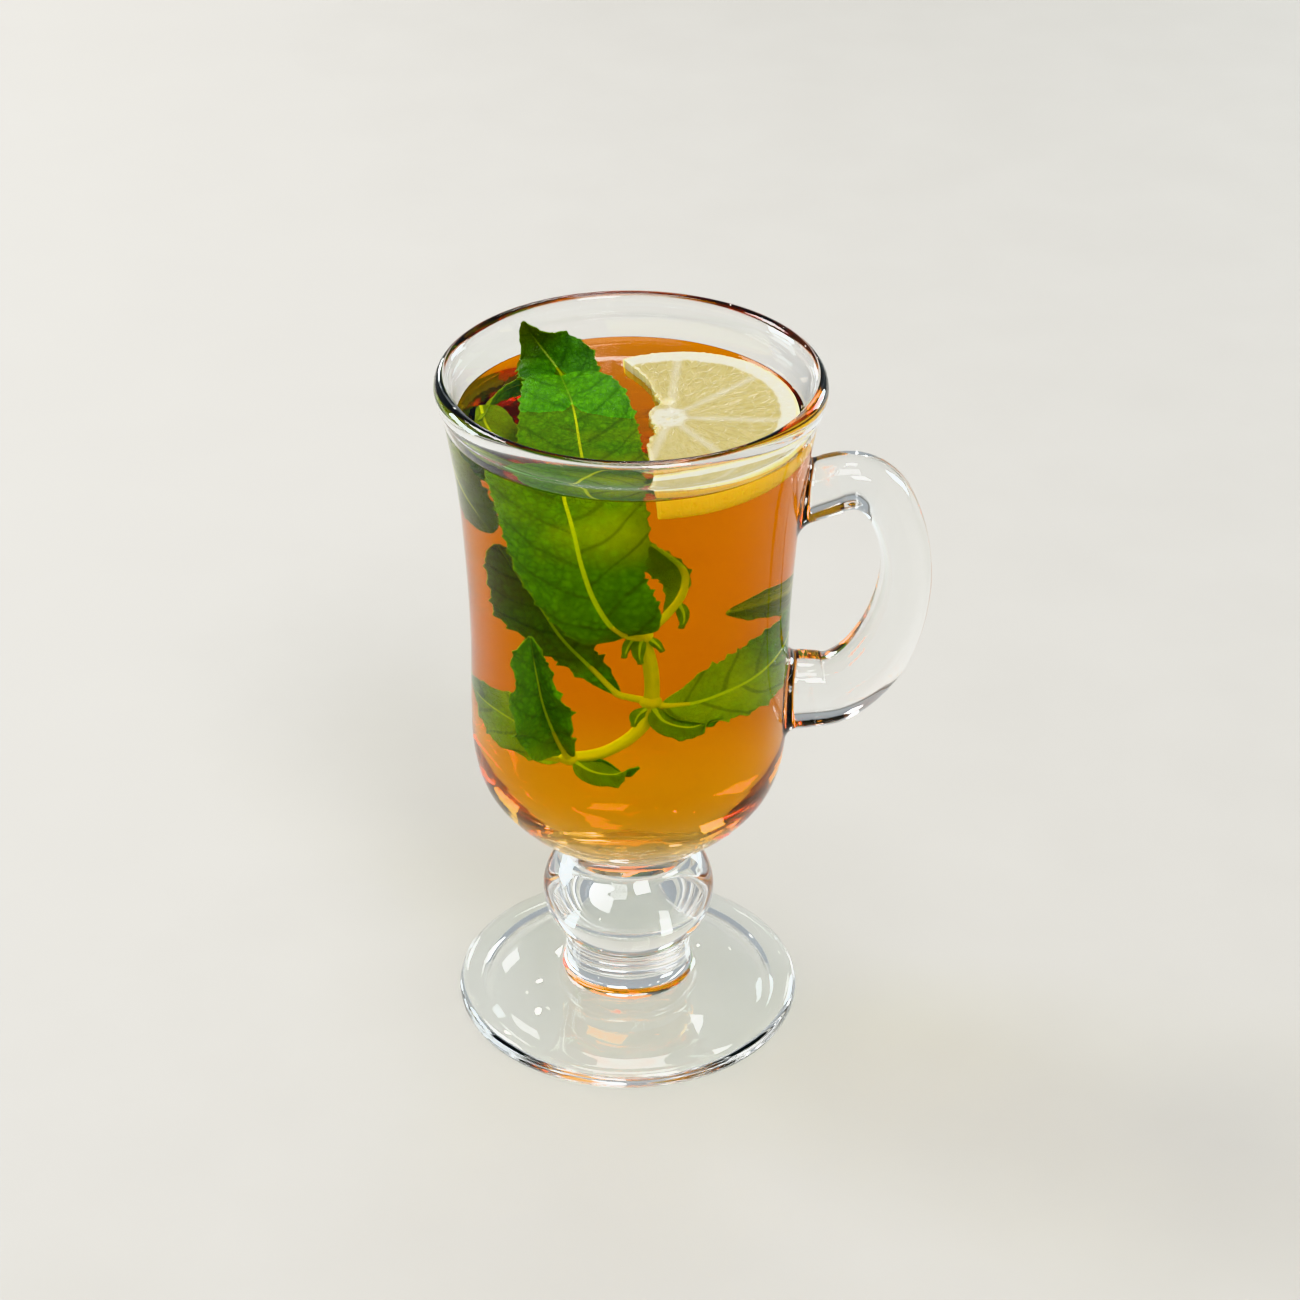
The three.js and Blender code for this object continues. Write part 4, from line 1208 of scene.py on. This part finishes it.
# Painted shade: what the colour of a leaf marked as shaded is multiplied by
TIP_PAINTED_SHADE = (0.3, 0.42, 0.6, 1)
# Painted light: what the leaves' colour is multiplied by well under the drink
LEAF_PAINTED_SUNK_LIGHT = (1.3, 2.35, 1.0, 1)
STEM_GREEN = (0.50, 0.70, 0.01, 1)
STEM_YELLOW = (0.66, 0.80, 0.03, 1)
STEM_SPOTS = (0.2, 0.36, 0.01, 1)
# Painted light: what the stem's colour is multiplied by well under the drink
STEM_PAINTED_SUNK_LIGHT = (1.0, 1.25, 1.0, 1)


def leaf_green(look, mottle, quilt, net_veins):
    """The leaf's colour, laid on from its ground tone to its veins, rib and rim, with painted light
    and shade.
    """
    along, side, youth = look.marked_three("blade")
    bulge, from_rib, to_vein = look.marked_three("detail")
    patches = look.noise(look.object_position(), 110, 2)
    # Painted light and shade: the puckers' crowns (bulge) and the quilted cells' middles are lighter,
    # the creases darker; the mottle is the leaf's own uneven tone
    tone = look.plus(look.times(bulge, 0.5), look.times(mottle, 0.55))
    green = look.mix(look.ramp(look.plus(tone, quilt), 0.3, 1.0), DEEP_GREEN, FRESH_GREEN)
    young = look.plus(youth, look.times(look.minus(patches, 0.5), 0.7))
    green = look.mix(look.ramp(young, 0.05, 0.9), green, YOUNG_GREEN)
    green = look.mix(look.ramp(look.times(young, -1.0), 0.1, 0.9, 0.0, 0.75), green, OLD_OLIVE)
    # The fine vein net, a little darker: the veins' own tone and painted shade in their grooves
    green = look.mix(look.times(net_veins, 0.18), green, NET_VEIN_AND_SHADE_GREEN)
    # Painted shade: dark lines along the sunken side veins
    green = look.mix(look.ramp(to_vein, 0.1, 0.45, 0.5, 0.0), green, VEIN_GROOVE_SHADE)
    green = look.mix(look.times(look.marked("under"), 0.45), green, UNDERSIDE_GREEN)
    rib = look.ramp(from_rib, 0.6, 1.0, 0.92, 0.0)
    rib = look.times(rib, look.ramp(along, 0.72, 0.86, 1.0, 0.15))
    green = look.mix(rib, green, RIB_GREEN)
    # Painted shade: a leaf marked for it is darkened and cooled as if it lay in shadow
    green = look.mix(look.marked("painted_shade"), green, look.tinted(green, TIP_PAINTED_SHADE))
    rim = look.ramp(look.math("ABSOLUTE", side), 0.97, 1.0, 0.0, 0.4)
    green = look.mix(rim, green, RIM_GREEN)
    return painted_light_when_sunk(look, green, LEAF_PAINTED_SUNK_LIGHT)


def leaf_look():
    look = Look("mint_leaf")
    position = look.object_position()
    mottle = look.noise(position, 620, 4, 0.65)
    net_veins = look.ramp(look.cell_edges(position, 1400.0), 0.0, 0.12, 1.0, 0.0)
    # The quilted cells: their relief, and painted light that makes their middles lighter in
    # leaf_green
    quilt = look.ramp(look.cell_edges(position, 640.0), 0.0, 0.3, 0.0, 0.22)
    green = leaf_green(look, mottle, quilt, net_veins)
    height = look.minus(look.plus(mottle, quilt), look.times(net_veins, 0.8))
    normal = look.bump(height, 0.7, 0.28)
    shader = look.node("BsdfPrincipled", {
        "Base Color": green,
        "Roughness": look.ramp(mottle, 0.3, 0.7, 0.36, 0.55),
        "Normal": normal,
        "Specular IOR Level": 0.22,
    })
    glow = look.mix(0.5, green, LIT_THROUGH)
    through = look.node("BsdfTranslucent", {"Color": glow, "Normal": normal})
    joined = look.node("MixShader", {"Fac": 0.28})
    look.feed(joined.inputs[1], shader.outputs[0])
    look.feed(joined.inputs[2], through.outputs[0])
    return look.finish(joined.outputs[0])


def stem_look():
    look = Look("mint_stem")
    run, angle, _ = look.marked_three("stalk")
    fibres = look.flat_place(look.times(run, 0.25), look.times(angle, 4.0))
    streaks = look.noise(fibres, 2.2, 3)
    mottle = look.noise(look.object_position(), 420, 3)
    green = look.mix(look.ramp(streaks, 0.3, 0.7), STEM_GREEN, STEM_YELLOW)
    green = look.mix(look.ramp(mottle, 0.55, 0.8, 0.0, 0.35), green, STEM_SPOTS)
    shader = look.node("BsdfPrincipled", {
        "Base Color": painted_light_when_sunk(look, green, STEM_PAINTED_SUNK_LIGHT),
        "Roughness": look.ramp(mottle, 0.3, 0.7, 0.3, 0.45),
        "Normal": look.bump(streaks, 0.4, 0.2),
        "Subsurface Weight": 0.25,
        "Subsurface Radius": (0.6, 0.8, 0.1),
        "Subsurface Scale": 0.001,
    })
    return look.finish(shader.outputs[0])


# Colours of the lemon, each as a pair that a fine mottle runs between, or as one
PULP = (colour(142, 129, 77), colour(151, 138, 90))
PITH = (colour(160, 155, 138), colour(170, 166, 150))
PEEL = (colour(228, 212, 96), colour(232, 218, 120))
SAC_WALL = colour(157, 147, 106)
PIT_BROWN = colour(118, 88, 36)
TORN_CORE = colour(132, 118, 74)
CUT_WALL = colour(205, 195, 150)
# Painted light: what the lemon's colour is multiplied by well under the drink
LEMON_PAINTED_SUNK_LIGHT = (1.3, 1.65, 5.5, 1)


def lemon_membranes(look, angle, radius, wobble):
    """0.58 on a membrane between two segments, 1 well inside a segment."""
    segment = math.radians(SEGMENT_ANGLE)
    turned = look.minus(angle, math.radians(FIRST_MEMBRANE) - 2 * math.pi)
    share = look.math("FRACT", look.math("DIVIDE", turned, segment))
    nearest = look.math("MINIMUM", share, look.minus(1.0, share))
    gap = look.times(look.times(nearest, segment), radius)
    return look.ramp(look.plus(gap, look.times(wobble, 0.5)), 0.0, 1.5, 0.58, 1.0)


def lemon_core(look, face, x, y, radius, wobble):
    """The torn, paler core with the brown pit beside it, laid over the cut face."""
    from_pit = look.length(look.minus(x, PIT[0]), look.minus(y, PIT[1]))
    pit = look.ramp(look.plus(from_pit, wobble), 0.3, 1.1, 0.8, 0.0)
    face = look.mix(pit, face, PIT_BROWN)
    torn = look.ramp(look.noise(look.object_position(), 900, 2), 0.45, 0.7, 0.0, 0.5)
    core = look.ramp(radius, CORE_RADIUS - 1, CORE_RADIUS + 2.5, 1.0, 0.0)
    return look.mix(look.times(torn, core), face, TORN_CORE)


def lemon_look():
    look = Look("lemon")
    x, y, depth = look.marked_three("round")
    radius = look.length(x, y)
    angle = look.math("ARCTAN2", y, x)
    position = look.object_position()
    wobble = look.minus(look.noise(position, 260, 2), 0.5)
    edge = look.plus(radius, look.times(wobble, 1.4))
    within = look.ramp(edge, LEMON_RADIUS - RIND - 0.7, LEMON_RADIUS - RIND + 0.3, 1.0, 0.0)
    beyond = look.ramp(edge, CORE_RADIUS - 0.2, CORE_RADIUS + 1.6)
    flesh = look.times(look.times(within, beyond), lemon_membranes(look, angle, radius, wobble))
    fan = look.flat_place(look.times(angle, 9.5), look.times(radius, 0.28))
    sac_walls = look.ramp(look.cell_edges(fan, 1.5), 0.0, 0.12, 1.0, 0.0)
    pulp = look.mix(look.ramp(look.noise(fan, 1.4, 3), 0.3, 0.7), *PULP)
    pulp = look.mix(look.times(sac_walls, 0.25), pulp, SAC_WALL)
    face = look.mix(flesh, look.mix(look.noise(position, 500, 3), *PITH), pulp)
    face = lemon_core(look, face, x, y, radius, wobble)
    skin = look.ramp(radius, LEMON_RADIUS - ZEST - 0.35, LEMON_RADIUS - ZEST + 0.45)
    below_face = look.minus(1.0, look.ramp(depth, -0.9, -0.2, 0.0, 0.55))
    peel = look.mix(look.noise(position, 380, 3), *PEEL)
    face = look.mix(look.times(skin, below_face), face, peel)
    cut_wall = look.times(look.ramp(depth, -0.5, -0.1, 1.0, 0.0), look.minus(1.0, skin))
    face = look.mix(look.times(cut_wall, 0.8), face, CUT_WALL)
    pores = look.node("TexVoronoi", {"Vector": position, "Scale": 900.0})
    pits = look.times(look.ramp(pores.outputs["Distance"], 0.1, 0.45), skin)
    height = look.plus(look.times(pits, 0.6), look.times(sac_walls, -0.25))
    shader = look.node("BsdfPrincipled", {
        "Base Color": painted_light_when_sunk(look, face, LEMON_PAINTED_SUNK_LIGHT),
        "Roughness": look.minus(0.38, look.times(flesh, 0.2)),
        "Normal": look.bump(height, 0.5, 0.3),
        "Subsurface Weight": 0.6,
        "Subsurface Radius": (1.0, 0.75, 0.3),
        "Subsurface Scale": 0.003,
        "Specular IOR Level": 0.5,
    })
    return look.finish(shader.outputs[0])


def floor_look():
    look = Look("floor")
    position = look.object_position()
    tone = look.mix(look.noise(position, 30, 3), colour(150, 146, 140), colour(155, 151, 145))
    shader = look.node("BsdfPrincipled", {"Base Color": tone, "Roughness": 0.7})
    return look.finish(shader.outputs[0])


# The pieces

new_piece("mug", glass_mesh(), glass_look(), "glass")
new_piece("tea_body", tea_mesh(), tea_look(), "tea")
new_piece("lemon", lemon_mesh(), lemon_look(), "lemon_slice")
new_piece("mint_leaves", mint_leaves_mesh(), leaf_look(), "mint_sprig")
new_piece("mint_stem", mint_stem_mesh(), stem_look(), "mint_sprig")

# The stage: a pale floor, soft lamps and the photograph's camera. Places and sizes are metres.

FLOOR_HALF = 3.0
CAMERA_BACK = 0.585911
CAMERA_HEIGHT = 0.440069
CAMERA_PITCH = 31.25
CAMERA_ROLL = 0.53
CAMERA_YAW = 0.40
LENS = 94.15
SENSOR = 36
LAMP_AIM_HEIGHT = 0.08
HORIZON_LIGHT = 0.45
OVERHEAD_LIGHT = 0.5
SKY = (0.88, 0.95, 1.0, 1)
WHITE = (1, 1, 1)
COOL = (0.86, 0.95, 1)
WARM = (1, 0.96, 0.9)

# Each lamp's place, width and length, power in watts and colour
LAMPS = {
    "key": ((-0.8, 0.4, 1.0), (0.38, 0.38), 10, WHITE),
    "front": ((0.4, -0.9, 1.15), (0.5, 0.5), 16, WHITE),
    "top": ((0, -0.1, 1.3), (0.7, 0.7), 11, WHITE),
    "window": ((0.1, 0.62, 0.95), (0.2, 0.22), 1.6, WHITE),
    "panel": ((-0.4, 0.84, 0.34), (0.14, 0.2), 2.0, WHITE),
    "left_window": ((-1.0, 0.3, 0.28), (0.45, 0.35), 11, COOL),
    "right_window": ((0.78, 0.78, 0.3), (0.3, 0.4), 8, COOL),
}
# Small bulbs that show as bright dots in the glass
SPARKS = [(-0.25, 0.74, 0.85), (-0.34, 0.78, 0.72), (-0.16, 0.66, 0.95), (-0.03, 0.5, 1.02),
          (0.3, 1.0, 0.42)]
SPARK_SIZE = 0.022
SPARK_POWER = 0.16


def add_floor():
    mesh = bmesh.new()
    corners = [(-1, -1), (1, -1), (1, 1), (-1, 1)]
    mesh.faces.new([mesh.verts.new((x * FLOOR_HALF, y * FLOOR_HALF, 0)) for x, y in corners])
    data = bpy.data.meshes.new("floor")
    mesh.to_mesh(data)
    mesh.free()
    data.materials.append(floor_look())
    add_to_scene(bpy.data.objects.new("floor", data))


def add_lamp(name, spot, size, power, tint, shape="RECTANGLE"):
    """A soft lamp at a place, turned to the middle of the mug."""
    data = bpy.data.lights.new(name, "AREA")
    data.shape = shape
    data.size, data.size_y = size
    data.energy = power
    data.color = tint
    lamp = add_to_scene(bpy.data.objects.new(name, data))
    lamp.location = spot
    aim = Vector((MUG_X, 0, LAMP_AIM_HEIGHT)) - Vector(spot)
    lamp.rotation_euler = aim.to_track_quat("-Z", "Y").to_euler()


def add_world():
    """A little dimmer near the horizon than overhead, so that the glass has darker edges."""
    world = bpy.data.worlds.new("studio")
    world.use_nodes = True
    tree = world.node_tree
    background = tree.nodes["Background"]
    position = tree.nodes.new("ShaderNodeTexCoord")
    split = tree.nodes.new("ShaderNodeSeparateXYZ")
    ramp = tree.nodes.new("ShaderNodeMapRange")
    ramp.interpolation_type = "SMOOTHSTEP"
    for socket, number in zip(ramp.inputs, (0, 0.0, 0.8, HORIZON_LIGHT, OVERHEAD_LIGHT)):
        socket.default_value = number
    tree.links.new(position.outputs["Generated"], split.inputs[0])
    tree.links.new(split.outputs["Z"], ramp.inputs[0])
    tree.links.new(ramp.outputs[0], background.inputs["Strength"])
    background.inputs["Color"].default_value = SKY
    bpy.context.scene.world = world


def add_camera():
    data = bpy.data.cameras.new("camera")
    data.sensor_width = SENSOR
    data.lens = LENS
    camera = add_to_scene(bpy.data.objects.new("camera", data))
    camera.location = (MUG_X, -CAMERA_BACK, CAMERA_HEIGHT)
    pitch, roll, yaw = (math.radians(a) for a in (CAMERA_PITCH, CAMERA_ROLL, CAMERA_YAW))
    level = Vector((math.sin(yaw), math.cos(yaw), 0))
    forward = level * math.cos(pitch) - Vector((0, 0, math.sin(pitch)))
    right = forward.cross(Vector((0, 0, 1))).normalized()
    up = right.cross(forward)
    rolled_right = right * math.cos(roll) + up * math.sin(roll)
    rolled_up = up * math.cos(roll) - right * math.sin(roll)
    turned = Matrix((rolled_right, rolled_up, -forward)).transposed()
    camera.rotation_euler = turned.to_euler()
    bpy.context.scene.camera = camera


add_floor()
add_world()
for name, (spot, size, power, tint) in LAMPS.items():
    add_lamp(name, spot, size, power, tint)
for number, spot in enumerate(SPARKS):
    add_lamp(f"spark_{number}", spot, (SPARK_SIZE, SPARK_SIZE), SPARK_POWER, WARM, "DISK")
add_camera()

scene = bpy.context.scene
scene.view_settings.view_transform = "Khronos PBR Neutral"
scene.cycles.max_bounces = 20
scene.cycles.transmission_bounces = 20
scene.cycles.glossy_bounces = 12
scene.cycles.diffuse_bounces = 4
scene.cycles.transparent_max_bounces = 24
scene.cycles.caustics_reflective = False
scene.cycles.sample_clamp_indirect = 8

bpy.context.view_layer.update()
